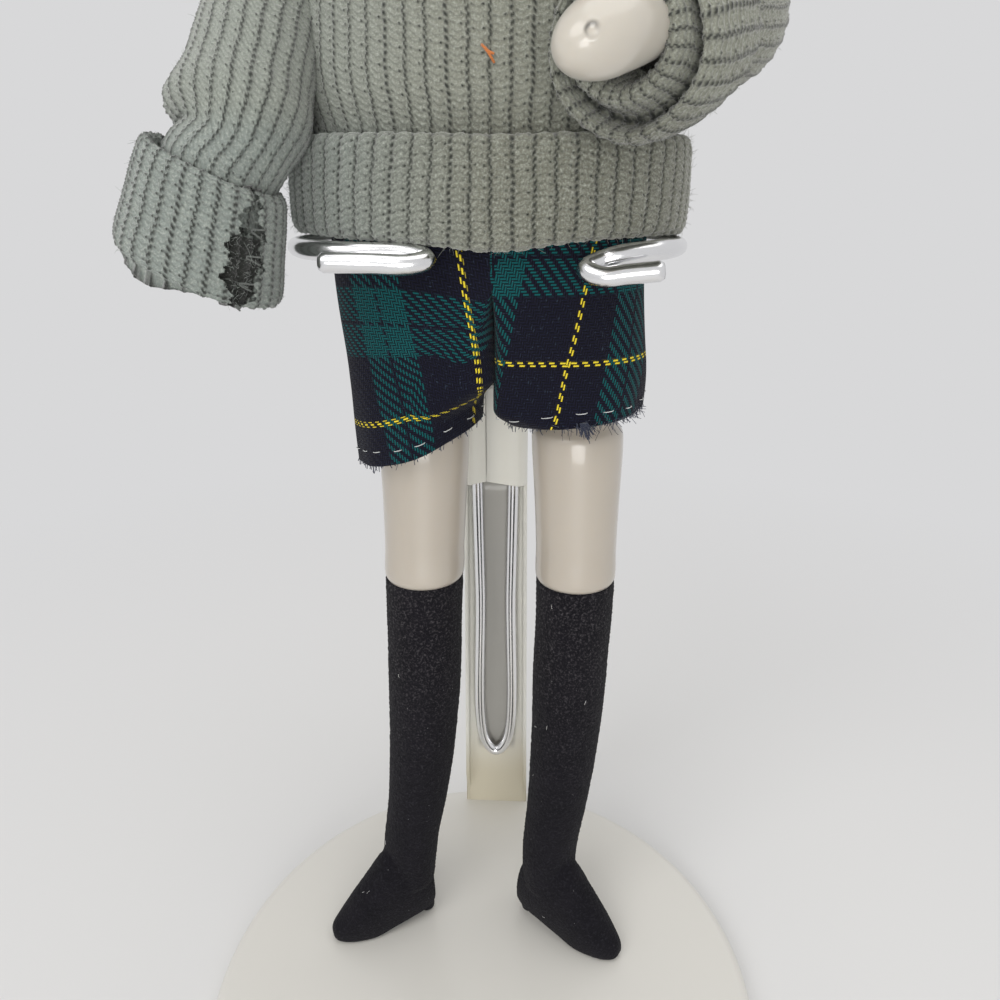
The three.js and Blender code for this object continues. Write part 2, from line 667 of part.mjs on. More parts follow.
// Legs. Each leg is one casting from thigh to toe; the boot is a coat of flock on it.
// The casting curves: in at the calf, and out again to the foot.
const legCurve = {
  right: [[HIP_Z, -10.8], [98, -10.5], [71, -11.05], [61, -11.2], [50, -11.6], [40, -12.3],
    [31, -13.3], [22.6, -14.6], [13, -15.1], [SOLE_Z, -15.2]],
  left: [[HIP_Z, 13.9], [98, 14.4], [71, 14.75], [61, 14.4], [50, 14.1], [40, 13.5],
    [31, 12.7], [22.6, 11.7], [13, 11.7], [SOLE_Z, 12]],
};
function legX(side, z) {
  const curve = legCurve[side];
  const below = curve.findIndex(([height]) => height <= z);
  const [z0, x0] = curve[Math.max(below - 1, 0)];
  const [z1, x1] = curve[Math.max(below, 1)];
  return mix(x0, x1, (z0 - z) / (z0 - z1));
}
const legY = (z) => mix(BODY_Y, ANKLE_Y, (HIP_Z - z) / (HIP_Z - ANKLE_Z));
const calfProfile = [
  [BOOT_TOP_Z, 6.6],
  [66, 6.45],
  [57, 6.4],
  [48, 6.1],
  [40, 5.8],
  [32, 5.4],
  [25, 5.1],
  [ANKLE_Z, 5],
  [14.5, 4.7],
];
const kneeProfile = [
  [LEG_TOP_Z, LEG_TOP_R],
  [THIGH_CLOTH_FOOT_Z - 1, LEG_TOP_R + 0.2],
  [THIGH_CLOTH_FOOT_Z - 3, 7.3],
  [96, 7.25],
  [90, 6.95],
  [82, 6.7],
];
const LEG_SIDES = 14;
const legRing = (side, z, r) => oval(legX(side, z), legY(z), z, r, r, LEG_SIDES);
function footForm(side, inset) {
  const turn = THREE.MathUtils.degToRad(TOE_OUT_DEG[side]);
  const forward = point(SIDE_SIGN[side] * Math.sin(turn), -Math.cos(turn), 0);
  const across = point(-forward.y, forward.x, 0);
  const centre = point(legX(side, SOLE_Z + 5), legY(SOLE_Z + 5), 0);
  const heel = HEEL_H;
  const stations = [
    [-HEEL_BACK + inset, 2.4, 0.2 + inset, 10],
    [-HEEL_BACK * 0.6, 3.5, inset, 14],
    [-HEEL_BACK * 0.1, 4.1, inset, 16.6],
    [HEEL_BACK * 0.16, 4.2, heel * 0.5 + inset, 17.4],
    [FOOT_REACH * 0.28, 4.3, heel * 0.45 + inset, 16.6],
    [FOOT_REACH * 0.5, 4.2, inset, 12.2],
    [FOOT_REACH * 0.7, 3.7, inset, 8.2],
    [FOOT_REACH * 0.88, 2.7, inset, 5],
    [FOOT_REACH - inset, 1.3, 0.4 + inset, 3],
  ];
  const sides = 12;
  return loft(stations.map(([along, half, low, high]) => {
    const ring = [];
    for (let j = 0; j < sides; j += 1) {
      const t = (2 * Math.PI * j) / sides;
      const flat = Math.sin(t) < -0.3 ? -0.5 : Math.sin(t);
      const p = centre.clone().addScaledVector(forward, along);
      p.addScaledVector(across, (half - inset) * Math.cos(t));
      p.z = SOLE_Z + mix(low, high - inset, (flat + 0.5) / 1.5);
      ring.push(p);
    }
    return ring;
  }));
}
function bootForm(side, inset, topZ) {
  const rings = calfProfile.map(([z, r], i) => legRing(side, i === 0 ? topZ : z, r - inset));
  return joined(loft(rings), footForm(side, inset));
}
function legCasting(side) {
  const inset = FLOCK_T + GAP;
  const knee = kneeProfile.map(([z, r]) => legRing(side, z, r));
  knee.push(legRing(side, BOOT_TOP_Z + GAP, calfProfile[0][1]));
  knee.push(legRing(side, BOOT_TOP_Z + GAP, calfProfile[0][1] - inset));
  const calf = calfProfile.slice(1).map(([z, r]) => legRing(side, z, r - inset));
  return joined(loft([...knee, ...calf]), footForm(side, inset));
}
function flockBoot(side) {
  const inner = bootForm(side, FLOCK_T, BOOT_TOP_Z + MARGIN);
  return cut(bootForm(side, 0, BOOT_TOP_Z), inner);
}
// The cloth thigh: a stuffed ball at the hip with a skirt drawn down over the casting.
const ballRing = (side, degrees, radius) => {
  const t = THREE.MathUtils.degToRad(degrees);
  const r = radius * Math.cos(t);
  return oval(HIP_X[side], BODY_Y, HIP_Z + radius * Math.sin(t), r, r, LEG_SIDES);
};
function thigh(side) {
  const inside = SHORTS_LEG_R - SHORTS_T - GAP;
  const outer = [
    ...[84, 66, DOME_DEG + 4].map((degrees) => ballRing(side, degrees, SHORTS_LEG_R)),
    ballRing(side, DOME_DEG, inside),
    ballRing(side, 0, inside),
    legRing(side, LEG_TOP_Z, THIGH_R),
    legRing(side, THIGH_CLOTH_FOOT_Z, LEG_TOP_R + GAP + CLOTH_T),
  ];
  const inner = [
    legRing(side, LEG_TOP_Z + GAP, LEG_TOP_R + GAP),
    legRing(side, THIGH_CLOTH_FOOT_Z, LEG_TOP_R + GAP),
  ];
  return cup(outer, inner);
}
function legTie(side) {
  const along = (LEG_TOP_Z - LEG_TIE_Z) / (LEG_TOP_Z - THIGH_CLOTH_FOOT_Z);
  const cloth = mix(THIGH_R, LEG_TOP_R + GAP + CLOTH_T, along);
  const ring = new THREE.TorusGeometry(cloth + THREAD_R + GAP, THREAD_R, 5, 18);
  return ring.translate(legX(side, LEG_TIE_Z), legY(LEG_TIE_Z), LEG_TIE_Z);
}
// One leg of the shorts: round over the hip, then a tube to its slanting hem.
function shortsLegRings(side, grow) {
  const hem = SHORTS_HEM[side];
  const dome = [DOME_DEG, DOME_DEG / 2].map((degrees) => (
    ballRing(side, degrees, SHORTS_LEG_R + grow)));
  const tube = [0, 0.5, 1].map((along) => {
    const x = mix(HIP_X[side], hem.x, along);
    const z = mix(HIP_Z, hem.z, along);
    const rx = mix(SHORTS_LEG_R, SHORTS_LEG_R - 0.9, along) + grow;
    const ry = mix(SHORTS_LEG_R, SHORTS_LEG_R - 0.2, along) + grow;
    const folds = { slope: hem.slope * along, waves: 4, depth: 0.02 * along };
    return oval(x, legY(z), z, rx, ry, LEG_SIDES, folds);
  });
  return [...dome, ...tube];
}
const shortsLeg = (side) => shell(shortsLegRings(side, 0), shortsLegRings(side, -SHORTS_T));
// The seat of the shorts, hollow for the trunk and scooped where each leg swings.
function shortsSeat() {
  const outer = [
    oval(0, BODY_Y, SEAT_Z0, SEAT_RX - 0.4, SEAT_RY - 0.6, 24),
    oval(0, BODY_Y, SEAT_Z0 + 6, SEAT_RX, SEAT_RY, 24),
    oval(0, BODY_Y, SEAT_Z1, SEAT_RX - 1.2, SEAT_RY, 24),
  ];
  const [, broadX, broadY] = trunkProfile[2];
  const hollow = [trunkFootZ - GAP, SEAT_Z1 + MARGIN].map((z) => (
    oval(0, BODY_Y, z, broadX + 2 * GAP, broadY + 2 * GAP, 24)));
  const hips = ['right', 'left'].flatMap((side) => {
    const ball = new THREE.SphereGeometry(SHORTS_LEG_R + 2 * GAP, 14, 10);
    ball.translate(HIP_X[side], BODY_Y, HIP_Z);
    const swung = [0.5, 1].map((share) => {
      const turn = THREE.MathUtils.degToRad(-share * HIP_SWING_DEG);
      const tube = loft(shortsLegRings(side, 2 * GAP).slice(2));
      tube.translate(0, -BODY_Y, -HIP_Z).rotateX(turn);
      return tube.translate(0, BODY_Y, HIP_Z);
    });
    return [ball, ...swung];
  });
  return cut(loft(outer), loft(hollow), ...hips);
}
addPart('shorts_seat', shortsSeat(), 'tartan');
for (const side of ['right', 'left']) {
  addPart(`leg_${side}`, legCasting(side), 'porcelain');
  addPart(`boot_${side}`, flockBoot(side), 'flock');
  addPart(`thigh_${side}`, thigh(side), 'muslin');
  addPart(`leg_tie_${side}`, legTie(side), 'thread');
  addPart(`shorts_leg_${side}`, shortsLeg(side), 'tartan');
}

export default doll;
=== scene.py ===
import math

import bmesh
import bpy
import numpy as np
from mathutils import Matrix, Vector


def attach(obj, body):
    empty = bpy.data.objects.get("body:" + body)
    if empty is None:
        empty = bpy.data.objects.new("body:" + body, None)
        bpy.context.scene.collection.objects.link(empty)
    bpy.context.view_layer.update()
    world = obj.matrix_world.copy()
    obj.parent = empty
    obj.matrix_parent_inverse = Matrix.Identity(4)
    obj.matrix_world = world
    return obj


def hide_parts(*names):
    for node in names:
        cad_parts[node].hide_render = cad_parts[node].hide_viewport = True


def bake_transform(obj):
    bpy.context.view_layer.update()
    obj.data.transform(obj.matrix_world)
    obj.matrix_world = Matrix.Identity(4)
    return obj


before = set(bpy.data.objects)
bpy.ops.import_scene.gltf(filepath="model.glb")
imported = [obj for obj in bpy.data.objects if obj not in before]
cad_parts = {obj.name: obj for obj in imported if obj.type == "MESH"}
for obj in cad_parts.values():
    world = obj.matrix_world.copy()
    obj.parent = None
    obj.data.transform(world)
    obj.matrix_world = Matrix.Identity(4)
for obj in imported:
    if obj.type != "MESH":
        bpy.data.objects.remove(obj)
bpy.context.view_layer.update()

# The view: a close picture from chest height, looking down past the boots to the base.
# Millimetres are used throughout and turned into metres where a mesh is made.
MM = 0.001
CAMERA_PLACE, CAMERA_DOWN, CAMERA_TURN = (8.0, -97.5, 137.6), 22.07, 2.93
camera_data = bpy.data.cameras.new("camera")
camera_data.sensor_width = 36.0
camera_data.lens = 27.9
camera_data.clip_start = 0.005
camera = bpy.data.objects.new("camera", camera_data)
bpy.context.scene.collection.objects.link(camera)
camera.location = Vector(CAMERA_PLACE) * MM
camera.rotation_mode = "XYZ"
camera.rotation_euler = (math.radians(90 - CAMERA_DOWN), 0.0, math.radians(CAMERA_TURN))
bpy.context.scene.camera = camera
bpy.context.scene.view_settings.view_transform = "Standard"


# The room: a pale table that runs into a pale wall, and soft window light.
# It is only there to light the doll and is no part of it.
def set_sockets(node, **values):
    for name, value in values.items():
        node.inputs[name.replace("_", " ")].default_value = value


def add_node(tree, kind, **values):
    node = tree.nodes.new(kind)
    set_sockets(node, **values)
    return node


def worked(tree, operation, *values):
    node = tree.nodes.new("ShaderNodeMath")
    node.operation = operation
    for socket, value in zip(node.inputs, values):
        if isinstance(value, float):
            socket.default_value = value
        else:
            tree.links.new(value, socket)
    return node.outputs[0]


def linear(red, green, blue):
    def one(c):
        c = c / 255.0
        return c / 12.92 if c <= 0.04045 else ((c + 0.055) / 1.055) ** 2.4
    return (one(red), one(green), one(blue), 1.0)


PALE = linear(216, 216, 217)
world = bpy.data.worlds.new("room_light")
bpy.context.scene.world = world
world.use_nodes = True
tree = world.node_tree
tree.nodes.clear()
seen = add_node(tree, "ShaderNodeBackground", Color=PALE, Strength=1.0)
lit = add_node(tree, "ShaderNodeBackground", Color=(1.0, 0.99, 0.98, 1.0), Strength=0.57)
both = tree.nodes.new("ShaderNodeMixShader")
world_out = tree.nodes.new("ShaderNodeOutputWorld")


def seen_rays(tree):
    path = tree.nodes.new("ShaderNodeLightPath")
    shown = path.outputs["Is Camera Ray"]
    for ray in ("Is Glossy Ray", "Is Transmission Ray"):
        shown = worked(tree, "MAXIMUM", shown, path.outputs[ray])
    return shown


tree.links.new(seen_rays(tree), both.inputs[0])
tree.links.new(lit.outputs[0], both.inputs[1])
tree.links.new(seen.outputs[0], both.inputs[2])
tree.links.new(both.outputs[0], world_out.inputs["Surface"])


def new_material(name):
    material = bpy.data.materials.new(name)
    material.use_nodes = True
    shader = material.node_tree.nodes["Principled BSDF"]
    return material, material.node_tree, shader


floor_material, tree, shader = new_material("pale_table")
set_sockets(shader, Base_Color=linear(224, 224, 224), Roughness=0.7)
place = tree.nodes.new("ShaderNodeNewGeometry")
away = tree.nodes.new("ShaderNodeVectorMath")
away.operation = "LENGTH"
fade = add_node(tree, "ShaderNodeMapRange", From_Min=0.08, From_Max=0.30)
glow = add_node(tree, "ShaderNodeEmission", Color=PALE, Strength=1.0)
blend = tree.nodes.new("ShaderNodeMixShader")
tree.links.new(place.outputs["Position"], away.inputs[0])
tree.links.new(away.outputs["Value"], fade.inputs["Value"])
only_seen = worked(tree, "MULTIPLY", seen_rays(tree), fade.outputs["Result"])
tree.links.new(only_seen, blend.inputs[0])
tree.links.new(shader.outputs[0], blend.inputs[1])
tree.links.new(glow.outputs[0], blend.inputs[2])
tree.links.new(blend.outputs[0], tree.nodes["Material Output"].inputs["Surface"])
bpy.ops.mesh.primitive_plane_add(size=6.0, location=(0, 0, -0.0002))
floor = bpy.context.object
floor.name = "pale_table"
floor.data.materials.append(floor_material)


def soft_light(name, place, target, size, watts, colour):
    data = bpy.data.lights.new(name, "AREA")
    data.shape = "DISK"
    data.size = size
    data.energy = watts
    data.color = colour
    lamp = bpy.data.objects.new(name, data)
    bpy.context.scene.collection.objects.link(lamp)
    lamp.location = place
    lamp.rotation_euler = (Vector(target) - Vector(place)).to_track_quat("-Z", "Y").to_euler()


COOL, WARM = (1.0, 0.99, 0.98), (1.0, 0.99, 0.97)
soft_light("window", (-0.4, -0.55, 0.7), (0, 0.02, 0.09), size=0.6, watts=2.3, colour=COOL)
soft_light("ceiling", (0.2, 0.0, 0.95), (0, 0.02, 0.08), size=1.0, watts=2.4, colour=WARM)
soft_light("flash", (0.02, -0.55, 0.1), (0, 0.02, 0.07), size=0.35, watts=1.6, colour=WARM)


# The base is a round steel pressing with a turned-down edge, hemmed under all round.
# It is stove-enamelled white, with a faint orange-peel in the gloss.
def surface(name, rows, uv=None, rise=None):
    rows = np.asarray(rows, dtype=float)
    count, across = rows.shape[:2]
    a, b = np.meshgrid(np.arange(count - 1), np.arange(across), indexing="ij")
    c, d = a + 1, (b + 1) % across
    quads = np.stack([a * across + b, a * across + d, c * across + d, c * across + b], -1)
    quads = quads.reshape(-1, 4)
    mesh = bpy.data.meshes.new(name)
    mesh.from_pydata((rows.reshape(-1, 3) * MM).tolist(), [], quads.tolist())
    mesh.polygons.foreach_set("use_smooth", np.ones(len(quads), dtype=bool))
    if uv is not None:
        layer = mesh.uv_layers.new(name="cloth")
        u, v = uv
        step_u = np.stack([b, b + 1, b + 1, b], -1).reshape(-1)
        step_v = np.stack([a, a, a + 1, a + 1], -1).reshape(-1)
        u = np.concatenate([u, 2 * u[:, -1:] - u[:, -2:-1]], axis=1)
        v = np.concatenate([v, v[:, -1:]], axis=1)
        pairs = np.stack([u[step_v, step_u], v[step_v, step_u]], -1)
        layer.data.foreach_set("uv", pairs.reshape(-1))
    if rise is not None:
        attribute = mesh.attributes.new("rise", "FLOAT", "POINT")
        attribute.data.foreach_set("value", np.asarray(rise, dtype=np.float32).reshape(-1))
    mesh.update()
    piece = bpy.data.objects.new(name, mesh)
    bpy.context.scene.collection.objects.link(piece)
    return piece


def turned(profile, sides):
    angle = np.linspace(0, 2 * np.pi, sides, endpoint=False)
    profile = np.asarray(profile, dtype=float)
    ring = np.stack([np.cos(angle), np.sin(angle)], -1)
    rows = np.zeros((len(profile), sides, 3))
    rows[:, :, :2] = profile[:, None, 0:1] * ring[None]
    rows[:, :, 2] = profile[:, None, 1]
    return rows


def in_place(tree, kind, **values):
    where = tree.nodes.new("ShaderNodeTexCoord")
    node = add_node(tree, kind, **values)
    tree.links.new(where.outputs["Object"], node.inputs["Vector"])
    return node


def bumped(tree, shader, height, strength, distance):
    relief = add_node(tree, "ShaderNodeBump", Strength=strength, Distance=distance)
    tree.links.new(height, relief.inputs["Height"])
    tree.links.new(relief.outputs["Normal"], shader.inputs["Normal"])


def wear(tree, shader, scale, smooth, rough, bump):
    noise = in_place(tree, "ShaderNodeTexNoise", Scale=scale, Detail=6.0, Roughness=0.6)
    spread = add_node(tree, "ShaderNodeMapRange", To_Min=smooth, To_Max=rough)
    tree.links.new(noise.outputs["Fac"], spread.inputs["Value"])
    tree.links.new(spread.outputs["Result"], shader.inputs["Roughness"])
    bumped(tree, shader, noise.outputs["Fac"], bump, 0.0002)


enamel, tree, shader = new_material("white_enamel")
set_sockets(shader, Base_Color=linear(219, 217, 211), Coat_Weight=0.3, Coat_Roughness=0.12)
wear(tree, shader, scale=160.0, smooth=0.28, rough=0.42, bump=0.05)

BASE_R, BASE_H, BASE_SHEET, BASE_EDGE, BASE_HEM = 47.5, 5.0, 1.2, 2.0, 4.0
under_z, hem_x = BASE_H - BASE_SHEET, BASE_R - BASE_HEM
edge_turn = np.linspace(0, np.pi / 2, 9)
dish = [(0.02, BASE_H), (20, BASE_H), (36, BASE_H)]
dish += [(BASE_R - BASE_EDGE + BASE_EDGE * math.sin(t),
          BASE_H - BASE_EDGE + BASE_EDGE * math.cos(t)) for t in edge_turn]
dish += [(BASE_R, 0.7), (BASE_R - 0.2, 0.2), (BASE_R - 0.7, 0.0), (hem_x + 0.4, 0.0)]
dish += [(hem_x, 0.4), (hem_x, BASE_SHEET), (BASE_R - 1.4, 1.25), (BASE_R - BASE_SHEET, 1.6)]
dish += [(BASE_R - 1.3, 2.8), (BASE_R - 2.2, 3.7), (hem_x, under_z), (0.02, under_z)]
base = surface("base_disc_enamelled", turned(dish, sides=180))
base.data.materials.append(enamel)
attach(base, "stand")
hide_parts("base_disc")


# The post is one tapered strip of the same steel, its edges bent forward as low flanges.
# Near the top they are rolled right round to make a flat clamp, closed at a seam, which
# grips the clip's wire. The face between the hairpin's wires is painted grey as shade.
def line_through(points, count):
    points = np.asarray(points, dtype=float)
    ends = np.vstack([2 * points[0] - points[1], points, 2 * points[-1] - points[-2]])
    runs = []
    for k in range(len(points) - 1):
        p0, p1, p2, p3 = ends[k:k + 4]
        d0, d1, d2 = [max(np.linalg.norm(b - a), 1e-6) ** 0.5
                      for a, b in ((p0, p1), (p1, p2), (p2, p3))]
        m1 = ((p1 - p0) / d0 - (p2 - p0) / (d0 + d1) + (p2 - p1) / d1) * d1
        m2 = ((p2 - p1) / d1 - (p3 - p1) / (d1 + d2) + (p3 - p2) / d2) * d1
        t = np.linspace(0, 1, 32, endpoint=False)[:, None]
        runs.append((2 * t**3 - 3 * t**2 + 1) * p1 + (t**3 - 2 * t**2 + t) * m1
                    + (3 * t**2 - 2 * t**3) * p2 + (t**3 - t**2) * m2)
    fine = np.vstack(runs + [points[-1:]])
    steps = np.linalg.norm(np.diff(fine, axis=0), axis=1)
    run = np.concatenate([[0.0], np.cumsum(steps)])
    at = np.linspace(0, run[-1], count)
    return np.stack([np.interp(at, run, column) for column in fine.T], -1)


def hill(value, width):
    return np.exp(-((value / width) ** 2))


def capped(piece):
    mesh = piece.data
    shape = bmesh.new()
    shape.from_mesh(mesh)
    open_edges = [edge for edge in shape.edges if edge.is_boundary]
    bmesh.ops.holes_fill(shape, edges=open_edges)
    bmesh.ops.recalc_face_normals(shape, faces=shape.faces)
    shape.to_mesh(mesh)
    shape.free()
    return piece


POST_W, POST_FOOT_W, POST_SHEET, POST_BACK_Y, POST_FLANGE = 12.2, 13.8, 0.8, 44.0, 1.8
POST_FOOT_Z, FLANGE_Z, FLANGE_RISE, POST_BEND, POST_FILLET = 2.7, 9.0, 5.0, 0.9, 0.5
CLAMP_Z0, CLAMP_Z1, CLAMP_DEPTH, SEAM_X, SEAM_W = 84.8, 104.0, 4.6, -1.6, 0.16
CLAMP_ROLL, CLAMP_CORNER, SEAM_NOTCH = 1.8, 0.5, 0.9
post_enamel, tree, shader = new_material("post_enamel")
set_sockets(shader, Coat_Weight=0.25, Coat_Roughness=0.15)
wear(tree, shader, scale=160.0, smooth=0.3, rough=0.45, bump=0.06)
where = tree.nodes.new("ShaderNodeNewGeometry")
split = tree.nodes.new("ShaderNodeSeparateXYZ")
tree.links.new(where.outputs["Position"], split.inputs[0])


def fading(tree, value, start, end):
    fade = add_node(tree, "ShaderNodeMapRange", From_Min=start, From_Max=end)
    fade.interpolation_type = "SMOOTHSTEP"
    tree.links.new(value, fade.inputs["Value"])
    return fade.outputs["Result"]


def coloured(tree, factor, first, second):
    mix = tree.nodes.new("ShaderNodeMix")
    mix.data_type = "RGBA"
    tree.links.new(factor, mix.inputs["Factor"])
    for socket, colour in ((mix.inputs[6], first), (mix.inputs[7], second)):
        if isinstance(colour, tuple):
            socket.default_value = colour
        else:
            tree.links.new(colour, socket)
    return mix.outputs[2]


# Painted shade: the strip's front face between the hairpin's wires, from the hairpin's bend up to
# the clamp, is painted grey.
field_painted_shade = fading(tree, worked(tree, "ABSOLUTE", split.outputs["X"]), 0.0046, 0.0034)
for way, start, end in (("Z", 0.0195, 0.0225), ("Y", 0.0436, 0.0431), ("Z", 0.0848, 0.0838)):
    field_painted_shade = worked(tree, "MULTIPLY", field_painted_shade, fading(tree, split.outputs[way], start, end))
# Painted shade: below 30 mm the strip is painted darker and yellower towards the base.
low_end_painted_shade = coloured(tree, fading(tree, split.outputs["Z"], 0.03, 0.012), linear(233, 232, 224),
                linear(198, 191, 171))
paint = coloured(tree, field_painted_shade, low_end_painted_shade, linear(156, 154, 149))
tree.links.new(paint, shader.inputs["Base Color"])


def strip_section(z):
    taper = min(max((CLAMP_Z0 - z) / (CLAMP_Z0 - POST_FOOT_Z), 0), 1)
    half = (POST_W + (POST_FOOT_W - POST_W) * taper) / 2
    lip = POST_FLANGE * min(max((z - FLANGE_Z) / FLANGE_RISE, 0), 1)
    front, back = POST_BACK_Y - POST_SHEET, POST_BACK_Y
    edge, turn = half - POST_SHEET, np.linspace(0, np.pi / 2, 6)
    outside = [(half - POST_BEND + POST_BEND * math.cos(t),
                back - POST_BEND + POST_BEND * math.sin(t)) for t in turn]
    rim = [(half - 0.25, front - lip - 0.02), (half, front - lip + 0.25)]
    inside = [(edge, front - lip + 0.2), (edge + 0.2, front - lip)]
    fillet = [(edge - POST_FILLET + POST_FILLET * math.sin(t),
               front - min(lip, POST_FILLET) * (1 - math.cos(t))) for t in turn]
    right = fillet + inside + rim + outside
    left = [(-x, y) for x, y in reversed(right)]
    return np.array([(x, y, z) for x, y in right + left])


post_rows = [strip_section(z) for z in np.concatenate([
    np.linspace(POST_FOOT_Z, 14, 12), np.linspace(16, CLAMP_Z0 + 0.4, 24)])]
post = capped(surface("post_strip", post_rows))
post.data.materials.append(post_enamel)
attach(post, "stand")
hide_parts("post")


def clamp_half(sign, inset):
    half, roll = POST_W / 2 - inset, CLAMP_ROLL - inset
    front, back = POST_BACK_Y - CLAMP_DEPTH + inset, POST_BACK_Y - inset
    side = [(SEAM_X + sign * SEAM_W / 2, front)]
    side += [(sign * (half - roll + roll * math.sin(t)), front + roll - roll * math.cos(t))
             for t in np.linspace(0, np.pi / 2, 9)]
    side += [(sign * (half - CLAMP_CORNER + CLAMP_CORNER * math.cos(t)),
              back - CLAMP_CORNER + CLAMP_CORNER * math.sin(t))
             for t in np.linspace(0, np.pi / 2, 5)]
    return side


clamp_loop = clamp_half(1, 0) + clamp_half(-1, 0)[::-1]
clamp_loop += clamp_half(-1, POST_SHEET) + clamp_half(1, POST_SHEET)[::-1]
clamp_rows = []
for share, pull in ((0, 0.16), (0.012, 0.05), (0.03, 0), (0.5, 0), (0.97, 0), (1, 0.1)):
    ring = np.array([(x, y, CLAMP_Z0 + share * (CLAMP_Z1 - CLAMP_Z0)) for x, y in clamp_loop])
    middle = np.array([SEAM_X, POST_BACK_Y - CLAMP_DEPTH / 2])
    ring[:, :2] += (middle - ring[:, :2]) * pull * 0.12
    if share < 0.5:
        near_seam = hill(ring[:, 0] - SEAM_X, 2.2) * (ring[:, 1] < POST_BACK_Y - 2)
        ring[:, 2] += SEAM_NOTCH * near_seam
    clamp_rows.append(ring)
clamp = capped(surface("post_rolled_clamp", clamp_rows))
clamp.data.materials.append(post_enamel)
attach(clamp, "stand")

GAP = 0.3
TAB_Z, TAB_FRONT_Y, TAB_BACK_Y = under_z - GAP, POST_BACK_Y - 12, POST_BACK_Y - 0.4
tab_edge = POST_FOOT_W / 2 - POST_SHEET
tab_rows = []
for z in (TAB_Z - POST_SHEET, TAB_Z):
    tab_rows.append([(-tab_edge, TAB_FRONT_Y, z), (tab_edge, TAB_FRONT_Y, z),
                     (tab_edge, TAB_BACK_Y, z), (-tab_edge, TAB_BACK_Y, z)])
tab = capped(surface("post_foot_tab", tab_rows))
tab.data.materials.append(post_enamel)
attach(tab, "stand")


# The clip is one length of hard chromed wire: a hairpin in the post's clamp, then two
# arms that go round behind the hips and spring together in front of the waist. Each end
# is bent back on itself, so that no sharp tip is left to catch the clothes.
ASKEW = (0.31, 0.2, 0.93)  # a direction that no wire or thread here starts along


def sweep(path, radii, sides, flat=1.0):
    path = np.asarray(path, dtype=float)
    radii = np.broadcast_to(np.asarray(radii, dtype=float), (len(path),))
    along = np.gradient(path, axis=0)
    along /= np.linalg.norm(along, axis=1)[:, None]
    side = np.cross(along[0], ASKEW)
    rows = []
    angle = np.linspace(0, 2 * np.pi, sides, endpoint=False)
    for point, forward, radius in zip(path, along, radii):
        side = side - forward * side.dot(forward)
        side /= np.linalg.norm(side)
        over = np.cross(side, forward)
        rows.append(point + radius * (np.cos(angle)[:, None] * side
                                      + flat * np.sin(angle)[:, None] * over))
    return np.array(rows)


WIRE_R, CLIP_HALF_W, BODY_Y, SEAT_RY = 1.2, 27.0, 24.0, 13.4
CLIP_Z = {"right": 129.3, "left": 128.7}
CLIP_TIP_X = {"right": -7.0, "left": 13.8}
CLIP_END_X = {"right": -21.0, "left": 23.8}
HIP_LIFT = {"right": 0.3, "left": 1.0}
SIGN = {"right": -1, "left": 1}
STRAND_DROP = {"right": 1.1, "left": 1.7}
wire_y = POST_BACK_Y - POST_SHEET - GAP - WIRE_R
clip_y = BODY_Y - SEAT_RY - GAP - WIRE_R
clamp_half_w = POST_W / 2 - POST_SHEET - GAP - WIRE_R
HAIRPIN_Z, HAIRPIN_HALF = 21.0, 2.4


def clip_half(side):
    s, z, tip = SIGN[side], CLIP_Z[side], CLIP_TIP_X[side]
    low_y, low_z, lift = clip_y - 2.5, z - STRAND_DROP[side], HIP_LIFT[side]
    return [
        (s * HAIRPIN_HALF, wire_y, HAIRPIN_Z + 1.2 * HAIRPIN_HALF),
        (s * (HAIRPIN_HALF + clamp_half_w) / 2, wire_y, (HAIRPIN_Z + CLAMP_Z1) / 2),
        (s * clamp_half_w, wire_y, CLAMP_Z1),
        (s * (clamp_half_w + 0.6), wire_y, z - 11),
        (s * (clamp_half_w + 4), wire_y - 0.3, z - 3.2),
        (s * 0.56 * CLIP_HALF_W, wire_y - 2, z),
        (s * 0.85 * CLIP_HALF_W, wire_y - 6.5, z + lift),
        (s * CLIP_HALF_W, BODY_Y + 3, z + lift),
        (s * CLIP_HALF_W, BODY_Y - 7, z + lift),
        (s * (CLIP_HALF_W - 3.4), clip_y + 2.2, z + lift),
        (s * (CLIP_HALF_W - 9), clip_y, z + 0.4 * lift),
        (tip + s * 2.2, clip_y, z - 0.2 * lift),
        (tip, (clip_y + low_y) / 2, (z + low_z) / 2 - 0.3 * lift),
        (tip + s * 2.2, low_y, low_z - 0.3 * lift),
        ((tip + CLIP_END_X[side]) / 2, low_y, low_z),
        (CLIP_END_X[side], low_y, low_z + 0.5 * lift)]


chrome, tree, shader = new_material("chrome_wire")
set_sockets(shader, Base_Color=(0.84, 0.84, 0.85, 1.0), Metallic=1.0)
wear(tree, shader, scale=420.0, smooth=0.12, rough=0.3, bump=0.04)
wire_path = line_through(clip_half("right")[::-1] + [(0, wire_y, HAIRPIN_Z)]
                         + clip_half("left"), count=640)
swell = 1 + 0.13 * np.clip((BODY_Y - 8 - wire_path[:, 1]) / 4, 0, 1)
swell[[0, -1]] = 0.85
wire = capped(surface("clip_wire", sweep(wire_path, WIRE_R * swell, sides=24)))
wire.data.materials.append(chrome)
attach(wire, "saddle")
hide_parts("saddle_wire")


# Inside the clothes the trunk is a muslin bag sewn up and stuffed hard, with a porcelain
# plate tied into its mouth. Little of it can be seen, so these keep their plain shapes.
def woven(name, colour, scale):
    material, tree, shader = new_material(name)
    threads = []
    for direction in ("X", "Z"):
        wave = in_place(tree, "ShaderNodeTexWave", Scale=scale, Distortion=1.2, Detail=2.0)
        wave.bands_direction = direction
        threads.append(wave.outputs["Fac"])
    weave = worked(tree, "MULTIPLY", *threads)
    bumped(tree, shader, weave, 0.5, 0.0002)
    shade = tuple(0.72 * c for c in colour[:3]) + (1.0,)
    tree.links.new(coloured(tree, weave, shade, colour), shader.inputs["Base Color"])
    set_sockets(shader, Roughness=0.9, Sheen_Weight=0.25)
    return material


